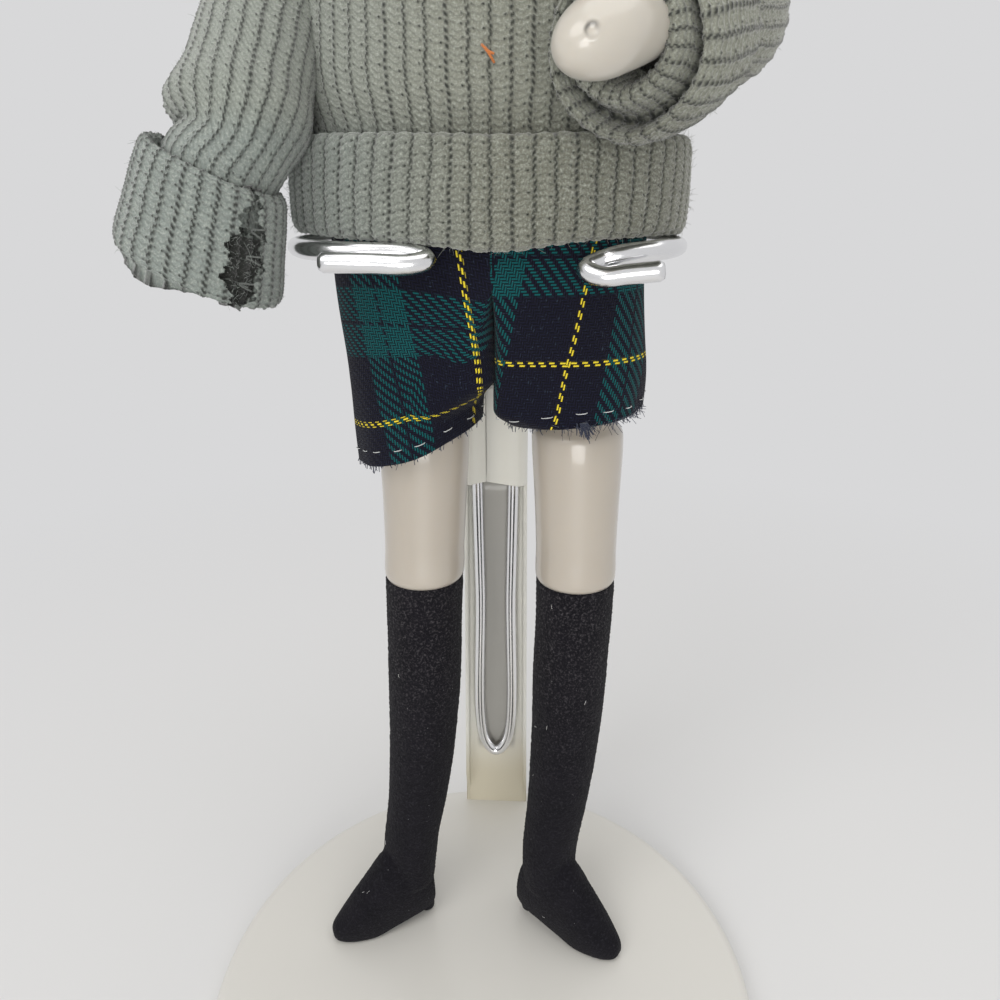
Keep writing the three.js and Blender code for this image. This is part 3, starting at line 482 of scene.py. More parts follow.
def finish_node(name, material):
    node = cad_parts[name]
    node.data.materials.clear()
    node.data.materials.append(material)


muslin = woven("muslin", linear(222, 213, 194), scale=900.0)
stuffing = woven("loose_stuffing", linear(238, 235, 228), scale=300.0)
finish_node("trunk_cloth", muslin)
finish_node("trunk_stuffing", stuffing)

porcelain, tree, shader = new_material("pearl_porcelain")
tint = in_place(tree, "ShaderNodeTexNoise", Scale=55.0, Detail=3.0)
glaze = coloured(tree, tint.outputs["Fac"], linear(168, 159, 147), linear(177, 169, 157))
ways = in_place(tree, "ShaderNodeSeparateXYZ")
# Painted light: the porcelain above 12 cm, which is the hands, is painted paler than the legs,
# standing in for light.
painted_light_high = fading(tree, ways.outputs["Z"], 0.112, 0.12)
glaze = coloured(tree, painted_light_high, glaze, linear(191, 185, 174))
# Painted shade: the rise attribute, which only the hands carry, paints the upper wall of the chip
# dark.
chip_painted_shade = tree.nodes.new("ShaderNodeAttribute")
chip_painted_shade.attribute_name = "rise"
tree.links.new(coloured(tree, chip_painted_shade.outputs["Fac"], glaze, linear(87, 85, 80)),
               shader.inputs["Base Color"])
wear(tree, shader, scale=90.0, smooth=0.3, rough=0.42, bump=0.04)
set_sockets(shader, Subsurface_Weight=0.12, Subsurface_Radius=(0.002, 0.0015, 0.001),
            Coat_Weight=0.8, Coat_Roughness=0.12, Sheen_Weight=0.12)
finish_node("shoulder_plate", porcelain)


# Each leg is slip-cast porcelain from thigh to toe, tied into a stuffed cloth thigh. The
# knee end is glazed with a pearl lustre; the boot is moulded in one with the leg.
HIP_X = {"right": -10.9, "left": 13.7}
HIP_Z, ANKLE_Y, ANKLE_Z, SOLE_Z = 112.0, 14.0, 20.0, 5.3
LEG_X = {
    "right": [(112, -10.8), (98, -10.5), (71, -11.05), (61, -11.2), (50, -11.6), (40, -12.3),
              (31, -13.3), (22.6, -14.6), (13, -15.1), (5.3, -15.2)],
    "left": [(112, 13.9), (98, 14.4), (71, 14.75), (61, 14.4), (50, 14.1), (40, 13.5),
             (31, 12.7), (22.6, 11.7), (13, 11.7), (5.3, 12.0)],
}
KNEE = [(109.6, 5.9), (103.2, 6.1), (101.4, 7.2), (99, 7.35), (96, 7.25), (90, 6.95), (82, 6.7),
        (76.4, 6.6)]
CALF = [(76.2, 6.6), (66, 6.45), (57, 6.4), (48, 6.1), (40, 5.8), (32, 5.4), (25, 5.1), (20, 5.0),
        (14.5, 4.7)]


def leg_axis(side, z):
    bends = line_through(LEG_X[side], 200)[::-1]
    share = (HIP_Z - z) / (HIP_Z - ANKLE_Z)
    return float(np.interp(z, bends[:, 0], bends[:, 1])), BODY_Y + (ANKLE_Y - BODY_Y) * share


def leg_rows(side, profile, count, sides):
    rows = []
    angle = np.linspace(0, 2 * np.pi, sides, endpoint=False)
    for z, r in line_through(profile, count):
        x, y = leg_axis(side, z)
        rows.append(np.stack([x + r * np.cos(angle), y + r * np.sin(angle), np.full(sides, z)], -1))
    return np.array(rows)


for side in ("right", "left"):
    rows = leg_rows(side, KNEE + [(76.1, 6.2), (76.0, 4.0)], count=60, sides=64)
    leg = capped(surface("leg_" + side + "_porcelain", rows))
    leg.data.materials.append(porcelain)
    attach(leg, "leg_" + side)
    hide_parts("leg_" + side)

# The boot is a coat of black flock: short fibre blown on to glue over the moulded boot.
# Stray white fibres and dust are caught in the pile.
flock, tree, shader = new_material("black_flock")
pile = in_place(tree, "ShaderNodeTexNoise", Scale=2600.0, Detail=3.0, Roughness=0.7)
patchy = in_place(tree, "ShaderNodeTexNoise", Scale=240.0, Detail=4.0)
dust = in_place(tree, "ShaderNodeTexVoronoi", Scale=520.0)
body = coloured(tree, patchy.outputs["Fac"], linear(9, 9, 14), linear(24, 22, 28))
ways = in_place(tree, "ShaderNodeSeparateXYZ")
tips = fading(tree, pile.outputs["Fac"], 0.48, 0.76)
sparse = coloured(tree, tips, body, linear(40, 39, 45))
sandy = coloured(tree, tips, body, linear(76, 73, 76))
grain = coloured(tree, fading(tree, ways.outputs["Z"], 0.03, 0.072), sparse, sandy)
specks = coloured(tree, fading(tree, dust.outputs["Distance"], 0.05, 0.02), grain,
                  linear(123, 123, 125))
tree.links.new(specks, shader.inputs["Base Color"])
bumped(tree, shader, pile.outputs["Fac"], 0.9, 0.0003)
set_sockets(shader, Roughness=0.95, Sheen_Weight=0.04, Specular_IOR_Level=0.15)
lint, tree, shader = new_material("white_lint")
set_sockets(shader, Base_Color=linear(240, 240, 238))
wear(tree, shader, scale=900.0, smooth=0.8, rough=1.0, bump=0.2)
TOE_OUT = {"right": 64.0, "left": 58.0}
HEEL_BACK = {"right": 1.0, "left": 1.35}
FOOT = [(-4.4, 2.5, 3.2, 10.0), (-3.2, 3.3, 2.7, 13.0), (-1.6, 3.9, 2.5, 16.0),
        (0.7, 4.2, 2.1, 17.4), (4.3, 4.2, 1.1, 16.4), (7.7, 4.1, 0.1, 12.1), (10.8, 3.6, 0.0, 8.2),
        (13.5, 2.6, 0.0, 4.8), (14.9, 1.6, 0.2, 3.3), (15.4, 0.8, 0.6, 2.4)]


def foot_frame(side):
    turn = math.radians(TOE_OUT[side])
    forward = np.array([SIGN[side] * math.sin(turn), -math.cos(turn), 0])
    x, y = leg_axis(side, SOLE_Z + 5)
    return np.array([x, y, 0]), forward, np.array([-forward[1], forward[0], 0])


def foot_rows(side, count, sides):
    centre, forward, across = foot_frame(side)
    angle = np.linspace(0, 2 * np.pi, sides, endpoint=False)
    share = (np.maximum(np.sin(angle), -0.42) + 0.42) / 1.42
    rows = []
    for along, half, low, high in line_through(FOOT, count):
        along = along * (HEEL_BACK[side] if along < 0 else 1.0)
        ring = centre + forward * along + across * half * np.cos(angle)[:, None]
        ring[:, 2] = SOLE_Z + low + share * (high - low)
        rows.append(ring)
    return np.array(rows)


def heel_rows(side, sides):
    centre, forward, across = foot_frame(side)
    angle = np.linspace(0, 2 * np.pi, sides, endpoint=False)
    rows = []
    for z, size, along in ((0, 1.5, -3.1), (0.25, 1.65, -3.1), (2, 1.75, -2.9), (5, 2.3, -2.3)):
        along = along * HEEL_BACK[side]
        rows.append(centre + forward * along + size * (1.15 * across * np.cos(angle)[:, None]
                    + forward * np.sin(angle)[:, None]) + np.array([0, 0, SOLE_Z + z]))
    return np.array(rows)


def eased(value, start, end):
    share = np.clip((value - start) / (end - start), 0, 1)
    return share * share * (3 - 2 * share)


def melted(piece, voxel, passes):
    remesh = piece.modifiers.new("melt", "REMESH")
    remesh.mode = "VOXEL"
    remesh.voxel_size = voxel * MM
    soften = piece.modifiers.new("soften", "SMOOTH")
    soften.factor = 0.5
    soften.iterations = passes
    shown = piece.evaluated_get(bpy.context.evaluated_depsgraph_get())
    mesh = bpy.data.meshes.new_from_object(shown)
    piece.modifiers.clear()
    piece.data = mesh
    mesh.polygons.foreach_set("use_smooth", np.ones(len(mesh.polygons), dtype=bool))
    return piece


def merged(name, pieces):
    whole = bmesh.new()
    for piece in pieces:
        whole.from_mesh(piece.data)
        bpy.data.objects.remove(piece)
    mesh = bpy.data.meshes.new(name)
    whole.to_mesh(mesh)
    whole.free()
    both = bpy.data.objects.new(name, mesh)
    bpy.context.scene.collection.objects.link(both)
    return both


def thread_along(points, steps, thickness, sides):
    return capped(surface("thread", sweep(line_through(points, steps), thickness, sides)))


chance = np.random.default_rng(8)
for side in ("right", "left"):
    calf = capped(surface("calf", leg_rows(side, CALF, count=60, sides=48)))
    foot = capped(surface("foot", foot_rows(side, count=48, sides=48)))
    heel = capped(surface("heel", heel_rows(side, sides=32)))
    boot = merged("boot_" + side + "_flocked", [calf, foot, heel])
    boot = melted(boot, voxel=0.3, passes=5)
    places = np.array([v.co for v in boot.data.vertices]) / MM
    facing = np.array([v.normal for v in boot.data.vertices])
    rough = 0.05 * chance.normal(size=len(places)) * eased(places[:, 2], 7, 16)
    places = places + facing * np.clip(rough, -0.1, 0.12)[:, None]
    boot.data.vertices.foreach_set("co", (places * MM).astype(np.float32).reshape(-1))
    boot.data.materials.append(flock)
    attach(boot, "leg_" + side)
    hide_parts("boot_" + side)
    front = np.where((facing[:, 1] < 0.3) & (places[:, 2] > 8))[0]
    fibres = []
    for k in chance.choice(front, 9, replace=False):
        length = chance.uniform(0.3, 0.9)
        lie = np.cross(facing[k], chance.normal(size=3))
        lie = lie / np.linalg.norm(lie) * length
        start = places[k] + facing[k] * 0.08
        bend = facing[k] * chance.uniform(0.02, 0.12)
        path = [start, start + lie / 2 + bend, start + lie]
        fibres.append(thread_along(path, steps=7, thickness=chance.uniform(0.018, 0.03), sides=5))
    strays = merged("boot_" + side + "_lint", fibres)
    strays.data.materials.append(lint)
    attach(strays, "leg_" + side)

# Each thigh is a tube of the same muslin, stuffed soft. Its lower end is gathered over the
# porcelain stub and bound there with a few turns of strong thread.
thread = woven("binding_thread", linear(232, 226, 212), scale=1500.0)
for side in ("right", "left"):
    finish_node("thigh_" + side, muslin)
    finish_node("leg_tie_" + side, thread)


# The shorts are cut from a light twill tartan, one piece for each leg, joined by a seam at
# the middle. The hem is turned once and held by a white running stitch; its edge frays.
THREAD_PITCH, STRIPE_EDGE, WEFT_REPEAT = 0.42, 0.06, 44.0
WARP_GREEN_HALF, WEFT_GREEN_HALF, NAVY_HALF, YELLOW_HALF = 4.3, 5.2, 0.24, 0.42


def banded(tree, value, centre, half, period):
    nearest = worked(tree, "WRAP", value, centre + period / 2, centre - period / 2)
    apart = worked(tree, "ABSOLUTE", worked(tree, "SUBTRACT", nearest, centre))
    return fading(tree, apart, half + STRIPE_EDGE, half - STRIPE_EDGE)


def tartan(name, twill, warp_green, warp_yellow, weft_green, weft_yellow, warp_repeat):
    material, tree, shader = new_material(name)
    cloth = tree.nodes.new("ShaderNodeUVMap")
    cloth.uv_map = "cloth"
    ways = tree.nodes.new("ShaderNodeSeparateXYZ")
    tree.links.new(cloth.outputs[0], ways.inputs[0])
    navy, green, yellow = linear(20, 21, 39), linear(12, 88, 91), linear(240, 217, 58)
    yarns, counts, rounds = [], [], []
    for axis, broad, half, fine, repeat in (
            ("X", warp_green, WARP_GREEN_HALF, warp_yellow, warp_repeat),
            ("Y", weft_green, WEFT_GREEN_HALF, weft_yellow, WEFT_REPEAT)):
        value = ways.outputs[axis]
        colour = coloured(tree, banded(tree, value, broad, half, repeat), navy, green)
        colour = coloured(tree, banded(tree, value, broad, NAVY_HALF, repeat), colour, navy)
        line = banded(tree, value, fine, YELLOW_HALF, repeat)
        yarns.append(coloured(tree, line, colour, yellow))
        counts.append(worked(tree, "FLOOR", worked(tree, "DIVIDE", value, THREAD_PITCH)))
        rounds.append(worked(tree, "PINGPONG", value, THREAD_PITCH / 2))
    step = worked(tree, "MULTIPLY_ADD", counts[1], twill, counts[0])
    over = worked(tree, "LESS_THAN", worked(tree, "WRAP", step, 4.0, 0.0), 1.5)
    dyed = coloured(tree, over, yarns[0], yarns[1])
    high = add_node(tree, "ShaderNodeMix")
    for socket, link in ((0, over), (2, rounds[0]), (3, rounds[1])):
        tree.links.new(link, high.inputs[socket])
    swell = fading(tree, high.outputs[0], 0.0, THREAD_PITCH / 2)
    slub = in_place(tree, "ShaderNodeTexNoise", Scale=2400.0, Detail=3.0)
    wear_and_painted_shade = coloured(tree, fading(tree, slub.outputs["Fac"], 0.55, 0.95), dyed, linear(68, 83, 101))
    shade = coloured(tree, swell, linear(11, 11, 18), wear_and_painted_shade)
    tree.links.new(shade, shader.inputs["Base Color"])
    height = worked(tree, "MULTIPLY_ADD", slub.outputs["Fac"], 0.5, swell)
    bumped(tree, shader, height, 0.7, 0.00012)
    set_sockets(shader, Roughness=0.9, Sheen_Weight=0.04, Specular_IOR_Level=0.15)
    return material


TARTAN = {
    "right": tartan("tartan_right", twill=-1.0, warp_green=3.4, warp_yellow=-9.8,
                    weft_green=22.2, weft_yellow=6.5, warp_repeat=34.0),
    "left": tartan("tartan_left", twill=1.0, warp_green=10.75, warp_yellow=0.4,
                   weft_green=24.0, weft_yellow=9.3, warp_repeat=24.4),
}
PULL = {"right": (0.19, 0.007), "left": (0.205, 0.0)}
PULL_FROM = 20.0
SHORTS_HEM = {"right": (-11.0, 99.4, 0.42), "left": (14.1, 104.7, 0.12)}
SHORTS_TOP_Z, SHORTS_R, CROTCH_X, CROTCH_Z, SEAT_RX = 132.5, 11.0, 1.4, 107.4, 23.4
SHORTS_SIDES, SHORTS_RINGS, HEM_SPOTS, FRAYED_ENDS, TUFT_X = 200, 110, 400, 150, 14.3


def shorts_ring(side, share, inset, sides):
    hem_x, hem_z, slope = SHORTS_HEM[side]
    s = SIGN[side]
    t = np.pi - np.linspace(0, 2 * np.pi, sides, endpoint=False)
    z = SHORTS_TOP_Z + (hem_z - SHORTS_TOP_Z) * share
    down = np.clip((HIP_Z - z) / (HIP_Z - hem_z), 0, 1)
    legged, parted = eased(z, 127.0, CROTCH_Z), eased(z, CROTCH_Z + 0.4, CROTCH_Z - 4.6)
    square = np.where(np.cos(t) < 0, 0.25 + 0.75 * parted, 1.0)
    _, y_leg = leg_axis(side, min(z, HIP_Z))
    centre = HIP_X[side] + (hem_x - HIP_X[side]) * down
    rx, ry = SHORTS_R - 0.9 * down - inset, SHORTS_R - 0.2 * down - inset
    seam = CROTCH_X + s * (inset - 0.3)
    inner = s * (centre - seam) * (1 - parted) + rx * parted
    rumple = down * (0.022 * np.cos(4 * t + 0.6) + 0.014 * np.sin(7 * t + 2 * share))
    rumple = rumple + 0.012 * np.sin(3 * t + 9 * share) * legged
    rumple = np.where(np.cos(t) < 0, rumple * parted, rumple)
    leg_x = np.where(np.cos(t) < 0, -inner, rx) * np.abs(np.cos(t)) ** square * (1 + rumple) * s
    leg_y = -ry * np.sign(np.sin(t)) * np.abs(np.sin(t)) ** square * (1 + rumple)
    seat_x = seam + (s * (SEAT_RX - inset) - seam) * np.maximum(np.cos(t), 0)
    seat_y = -(SEAT_RY - inset) * np.sin(t)
    x = seat_x * (1 - legged) + (centre + leg_x) * legged
    y = (BODY_Y + seat_y) * (1 - legged) + (y_leg + leg_y) * legged
    lean = (x - centre) * (0.87 - 0.13 * s * np.tanh((x - centre) / 4))
    tilt = slope * lean * np.clip((share - 0.2) / 0.8, 0, 1)
    return np.stack([x, y, z + tilt], -1)


stitch_white = woven("stitch_thread", linear(226, 228, 228), scale=1800.0)
fray_dark = woven("frayed_yarn", linear(38, 47, 73), scale=1800.0)
for side in ("right", "left"):
    shares = np.linspace(0, 1, SHORTS_RINGS)
    outside = [shorts_ring(side, share, 0.0, SHORTS_SIDES) for share in shares]
    turn_in = [shorts_ring(side, 1.004, 0.25, SHORTS_SIDES)]
    turn_in += [shorts_ring(side, share, 0.55, SHORTS_SIDES) for share in np.linspace(1, 0.72, 30)]
    rows = np.array(outside + turn_in)
    across = np.linalg.norm(np.diff(rows, axis=1, append=rows[:, :1]), axis=2)
    u = np.concatenate([np.zeros((len(rows), 1)), np.cumsum(across, axis=1)[:, :-1]], axis=1)
    along = np.linalg.norm(np.diff(rows, axis=0), axis=2)
    v = np.concatenate([np.zeros((1, SHORTS_SIDES)), np.cumsum(along, axis=0)])
    v = v[len(outside) - 1] - v
    ahead = SHORTS_SIDES // 2
    plumb = [np.interp(abs(HIP_X[side]), SIGN[side] * row[:ahead, 0], place[:ahead])
             for row, place in zip(rows, u)]
    u = u - np.array(plumb)[:, None]
    u = u + (PULL[side][0] + PULL[side][1] * u) * (PULL_FROM - v)
    if side == "left":
        v = rows[:, :, 2] - SHORTS_HEM[side][1]
    cloth = surface("shorts_" + side, rows, uv=(u, v))
    cloth.data.materials.append(TARTAN[side])
    hem_line = shorts_ring(side, 0.94, -0.12, HEM_SPOTS)
    edge = shorts_ring(side, 1.0, 0.12, HEM_SPOTS)
    run = np.concatenate([[0], np.cumsum(np.linalg.norm(np.diff(hem_line, axis=0), axis=1))])
    middle = hem_line.mean(axis=0)
    stitches, at = [], 0.6
    while at + 1.6 < run[-1]:
        length = 1.45 + 0.35 * chance.random()
        spots = [np.array([np.interp(at + length * f, run, hem_line[:, k]) for k in range(3)])
                 for f in (0, 0.15, 0.5, 0.85, 1)]
        out = np.array([spots[2][0] - middle[0], spots[2][1] - middle[1], 0])
        out /= np.linalg.norm(out)
        lifts = (-0.3, 0.06, 0.14, 0.06, -0.3)
        sway = 0.18 * chance.normal()
        path = [spot + out * lift + np.array([0, 0, sway]) for spot, lift in zip(spots, lifts)]
        stitches.append(thread_along(path, steps=9, thickness=0.065, sides=7))
        at += length + 2.0 + 1.4 * chance.random()
    sewing = merged("shorts_" + side + "_hem_stitches", stitches)
    sewing.data.materials.append(stitch_white)
    ends = []
    for k in chance.choice(HEM_SPOTS, FRAYED_ENDS, replace=False):
        start = edge[k] + np.array([0, 0, 0.25])
        fall = np.array([0.25 * chance.normal(), 0.2 * chance.normal(), -1])
        fall = fall / np.linalg.norm(fall) * chance.uniform(0.35, 1.15)
        curl = 0.22 * chance.normal(size=3)
        path = [start, start + fall * 0.6 + curl * 0.4, start + fall + curl]
        ends.append(thread_along(path, steps=6, thickness=chance.uniform(0.04, 0.075), sides=4))
    if side == "left":
        for k in np.flatnonzero((edge[:, 1] < BODY_Y - 3) & (edge[:, 0] > 11)):
            start = edge[k] + np.array([0, 0, 0.3])
            out = np.array([0.3, -0.35, -0.4]) + 0.5 * chance.normal(size=3)
            out = out / np.linalg.norm(out) * chance.uniform(0.5, 2.4)
            curl = 0.35 * chance.normal(size=3)
            path = [start, start + out * 0.6 + curl * 0.5, start + out + curl]
            ends.append(thread_along(path, steps=6, thickness=0.035, sides=4))
        tuft = (edge[:, 1] < BODY_Y) & (np.abs(edge[:, 0] - TUFT_X) < 0.9)
        for k in np.flatnonzero(tuft).repeat(5):
            start = edge[k] + np.array([0, -0.2, 0.8])
            fall = np.array([0.3, -0.15, -1]) + 0.25 * chance.normal(size=3)
            fall = fall * chance.uniform(0.9, 2.2)
            path = [start, start + fall * 0.5 + [0, -0.3, 0], start + fall]
            ends.append(thread_along(path, steps=6, thickness=0.07, sides=5))
    fray = merged("shorts_" + side + "_frayed_ends", ends)
    fray.data.materials.append(fray_dark)
    for piece in (cloth, sewing, fray):
        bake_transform(piece)
    length = float(along.sum(axis=0).mean()) * MM
    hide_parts("shorts_leg_" + side, *(["shorts_seat"] if side == "right" else []))


# Each arm is a stuffed cloth tube over a soft wire, tied to the stub of a porcelain hand.
# The hand is cast as a plain mitten in the same pearl glaze; one has a small chip in it.
armature, tree, shader = new_material("armature_wire")
set_sockets(shader, Base_Color=linear(208, 210, 212), Metallic=1.0)
wear(tree, shader, scale=500.0, smooth=0.3, rough=0.5, bump=0.1)
ARM = {
    "right": [(-34, 6.6, 138.4), (-35, 5.4, 134.6), (-36, 4.6, 131), (-36.8, 4.0, 128.2)],
    "left": [(23.4, 3.8, 155.0), (19.4, -1.0, 153.9), (14.0, -7.4, 151.7), (9.3, -11.2, 149.3)],
}
STUB = {"right": [(-32.1, 10.4, 145.0), (-33, 8.4, 142)],
        "left": [(28.4, 11.4, 155.7), (26.0, 7.6, 155.0)]}
CHIP = np.array([12.4, -12.5, 151.3])
HAND = [(0, 2.9), (0.18, 2.9), (0.34, 3.0), (0.48, 3.5), (0.6, 4.0), (0.7, 4.2), (0.78, 4.25)]
ROUND, STRAIGHT_STEPS, ROUND_STEPS, FINE_STEPS = 0.22, 100, 60, 400
for side in ("right", "left"):
    finish_node("arm_cloth_" + side, muslin)
    finish_node("arm_wire_" + side, armature)
    finish_node("arm_tie_" + side, thread)
    turn = np.linspace(0, np.pi / 2, ROUND_STEPS)
    along = np.concatenate([np.linspace(0, 1 - ROUND, STRAIGHT_STEPS, endpoint=False),
                            1 - ROUND + ROUND * np.sin(turn)])
    line, even = line_through(STUB[side] + ARM[side], FINE_STEPS), np.linspace(0, 1, FINE_STEPS)
    path = np.stack([np.interp(along, even, column) for column in line.T], -1)
    stations = line_through(HAND, FINE_STEPS)
    radii = np.interp(along, stations[:, 0], stations[:, 1])
    radii[STRAIGHT_STEPS:] *= np.maximum(np.cos(turn), 0.004)
    rows = sweep(path, radii, sides=144, flat=0.94)
    apart = np.linalg.norm(rows - CHIP, axis=2)
    out = (rows - path[:, None]) / np.maximum(radii, 0.1)[:, None, None]
    rows = rows + out * (0.07 * hill(apart - 0.85, 0.25) - 0.22 * hill(apart, 0.55))[:, :, None]
    # Painted shade: a dark ring in the chip's wall, strongest on its upper side.
    upper = eased(rows[:, :, 2] - CHIP[2] - 0.5 * (rows[:, :, 0] - CHIP[0]), -0.5, 0.7)
    mark = 0.9 * hill(apart - 0.6, 0.22) * (0.15 + 0.85 * upper)
    hand = capped(surface("hand_" + side + "_porcelain", rows, rise=mark))
    hand.data.materials.append(porcelain)
    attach(hand, "arm_" + side)
    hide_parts("hand_" + side)


# The sweater is knitted in a soft grey-green wool: single upright ribs of V stitches with
# sunk gaps between them. Its hem is folded up on the outside and sits on the clip's arms.
# A fleck of orange lint has caught in the front.
wool, tree, shader = new_material("rib_knit_wool")
height = tree.nodes.new("ShaderNodeAttribute")
height.attribute_name = "rise"
blotch = in_place(tree, "ShaderNodeTexNoise", Scale=60.0, Detail=3.0)
fibre = in_place(tree, "ShaderNodeTexNoise", Scale=3200.0, Detail=3.0, Roughness=0.75)
ways = in_place(tree, "ShaderNodeSeparateXYZ")
# Painted light: where x is below -3 cm, on the hanging sleeve, the wool is painted lighter and
# cooler; elsewhere it is painted warmer and darker.
cool = coloured(tree, blotch.outputs["Fac"], linear(120, 127, 123), linear(139, 148, 143))
warm = coloured(tree, blotch.outputs["Fac"], linear(102, 102, 90), linear(119, 120, 108))
mixed = coloured(tree, fading(tree, ways.outputs["X"], -0.03, 0.005), cool, warm)
# Painted light: above 14.75 cm, over the fold, the wool is painted lighter, standing in for the
# light from above.
painted_light_above_fold = fading(tree, ways.outputs["Z"], 0.1425, 0.1475)
set_sockets(painted_light_above_fold.node, To_Max=0.4)
mixed = coloured(tree, painted_light_above_fold, mixed, linear(150, 152, 140))
haired = coloured(tree, fading(tree, fibre.outputs["Fac"], 0.38, 0.95), mixed,
                  linear(189, 194, 184))
# Painted shade: where the knit lies low (the gaps between ribs, the holes and the sides of the
# stitches) it is painted dark from the rise attribute.
deep = coloured(tree, fading(tree, height.outputs["Fac"], -0.1, 0.85), linear(40, 42, 39), haired)
tree.links.new(deep, shader.inputs["Base Color"])
bumped(tree, shader, fibre.outputs["Fac"], 0.7, 0.0002)
set_sockets(shader, Roughness=0.95, Sheen_Weight=0.5, Sheen_Roughness=0.5, Specular_IOR_Level=0.15)
STITCH, KNIT_HIGH, HAIR_STEPS, HAIR_SIDES = 0.85, 0.4, 6, 3
BODY_RIBS, SLEEVE_RIBS, CUFF_RIBS, COLLAR_RIBS = 58, 24, 28, 24


# The last argument lowers rise, which sinks the knit there and paints it dark as shade.
def knitted(name, rows, ribs, drift=0.0, outward=1.0, edge=0.48, crowd=0.0, wear_and_painted_shade=0.0):
    rows = np.asarray(rows, dtype=float)
    count, across = rows.shape[:2]
    dv = np.gradient(rows, axis=0)
    du = (np.roll(rows, -1, axis=1) - np.roll(rows, 1, axis=1)) / 2
    normal = np.cross(du, dv)
    normal /= np.maximum(np.linalg.norm(normal, axis=2), 1e-9)[:, :, None]
    step = np.linalg.norm(np.diff(rows, axis=0), axis=2)
    v = np.concatenate([np.zeros((1, across)), np.cumsum(step, axis=0)])
    u = np.linspace(0, 1, across, endpoint=False)[None, :]
    wander = 0.03 * np.sin(v * 0.9 + 12 * np.pi * u) + 0.025 * np.sin(v * 2.3 + 38 * np.pi * u)
    place = ribs * (u - crowd / (4 * np.pi) * np.sin(4 * np.pi * u)) + drift + wander
    x = np.mod(place, 1.0) - 0.5
    shift = 0.5 * np.sin(7.3 * np.floor(place))
    wide = np.abs(x)
    wale = eased(wide, edge, edge - 0.17)
    stitch = 0.5 + 0.5 * np.cos(2 * np.pi * (v / STITCH + shift + 1.2 * wide))
    spot = np.clip(np.cos(2 * np.pi * (v / 1.3 + 2 * shift)), 0, 1) ** 2
    holes = spot * (hill(x - 0.22, 0.06) + 0.6 * hill(x + 0.25, 0.05))
    bars = (0.5 + 0.5 * np.cos(2 * np.pi * (v / STITCH + shift))) ** 1.5
    # rise sets the knit's height, and through the wool's colour it also paints the low parts dark
    # as shade.
    rise = wale * (0.52 + 0.48 * stitch - 0.7 * holes) + (1 - wale) * 0.62 * bars - wear_and_painted_shade
    moved = rows + normal * (outward * KNIT_HIGH * rise)[:, :, None]
    piece = surface(name, moved, rise=rise)
    piece.data.materials.append(wool)
    return piece, moved, normal * outward, v


def stray_hairs(name, places, normals, count, longest):
    flat_places, flat_normals = places.reshape(-1, 3), normals.reshape(-1, 3)
    rows, taper = [], np.linspace(0.028, 0.012, HAIR_STEPS)
    for k in chance.choice(len(flat_places), count, replace=False):
        out = flat_normals[k] + 0.8 * chance.normal(size=3)
        out /= np.linalg.norm(out)
        length = longest * chance.uniform(0.3, 1.0)
        start, curl = flat_places[k] - flat_normals[k] * 0.05, 0.4 * length * chance.normal(size=3)
        path = line_through([start, start + out * length * 0.5 + curl * 0.3,
                             start + out * length * 0.8 + curl], HAIR_STEPS)
        rows.append(sweep(path, taper, HAIR_SIDES))
    corners = np.concatenate([row.reshape(-1, 3) for row in rows])
    quads = []
    for hair in range(len(rows)):
        for step in range(HAIR_STEPS - 1):
            ring = (hair * HAIR_STEPS + step) * HAIR_SIDES
            for k in range(HAIR_SIDES):
                here, beside = ring + k, ring + (k + 1) % HAIR_SIDES
                quads.append((here, beside, beside + HAIR_SIDES, here + HAIR_SIDES))
    mesh = bpy.data.meshes.new(name)
    mesh.from_pydata((corners * MM).tolist(), [], quads)
    attribute = mesh.attributes.new("rise", "FLOAT", "POINT")
    attribute.data.foreach_set("value", np.ones(len(corners), dtype=np.float32))
    fuzz = bpy.data.objects.new(name, mesh)
    bpy.context.scene.collection.objects.link(fuzz)
    fuzz.data.materials.append(wool)
    return fuzz


body_line = [
    (9.6, 9.2, 176.0), (13.0, 10.2, 175.3), (20.4, 11.2, 172.6), (25.2, 12.8, 169.4),
    (26.4, 13.8, 165), (26.6, 15.0, 159), (26.9, 15.7, 153), (26.6, 15.4, 148.4),
    (25.6, 14.2, 145), (25.2, 13.9, 141), (25.8, 14.4, 134.6), (26.2, 14.8, 132.3),
    (26.9, 15.4, 131.4), (27.7, 16.1, 131.4), (28.3, 16.7, 132.3), (28.5, 16.9, 134.6),
    (28.5, 16.9, 140), (28.4, 16.8, 142.6), (28.0, 16.4, 143.5), (27.3, 15.7, 143.6),
    (26.8, 15.2, 142.8)]
FOLD_ROW, BARE_ROWS = 311, 140
profile = line_through(body_line, 400)
angle = np.linspace(0, 2 * np.pi, 812, endpoint=False)
rows = np.zeros((len(profile), len(angle), 3))
rows[:, :, 0] = profile[:, 0:1] * np.cos(angle)
rows[:, :, 1] = BODY_Y + profile[:, 1:2] * np.sin(angle)
rows[:, :, 2] = profile[:, 2:3]
facing = np.clip(-np.sin(angle), 0, 1)
hem_share = np.clip((147 - rows[:, :, 2]) / 14, 0, 1)
dip = 1.5 * hill(rows[:, :, 0] - 2, 9) * facing[None] ** 2
sag = 0.35 * np.sin(3 * angle + 0.7) + 0.25 * np.sin(5 * angle)
rows[:, :, 2] -= hem_share * (dip + 0.5 * sag[None])
ease = 1 + 0.006 * np.sin(4 * angle[None] + rows[:, :, 2] * 0.2)
rows[:, :, 0] *= ease
turned_up = np.linalg.norm(np.diff(rows, axis=0, prepend=rows[:1]), axis=2)
turned_up[:FOLD_ROW] = 0
lean = -0.09 * np.clip(-np.cos(angle), 0, 1) ** 0.7 * facing
drift = lean[None] * np.cumsum(turned_up, axis=0)
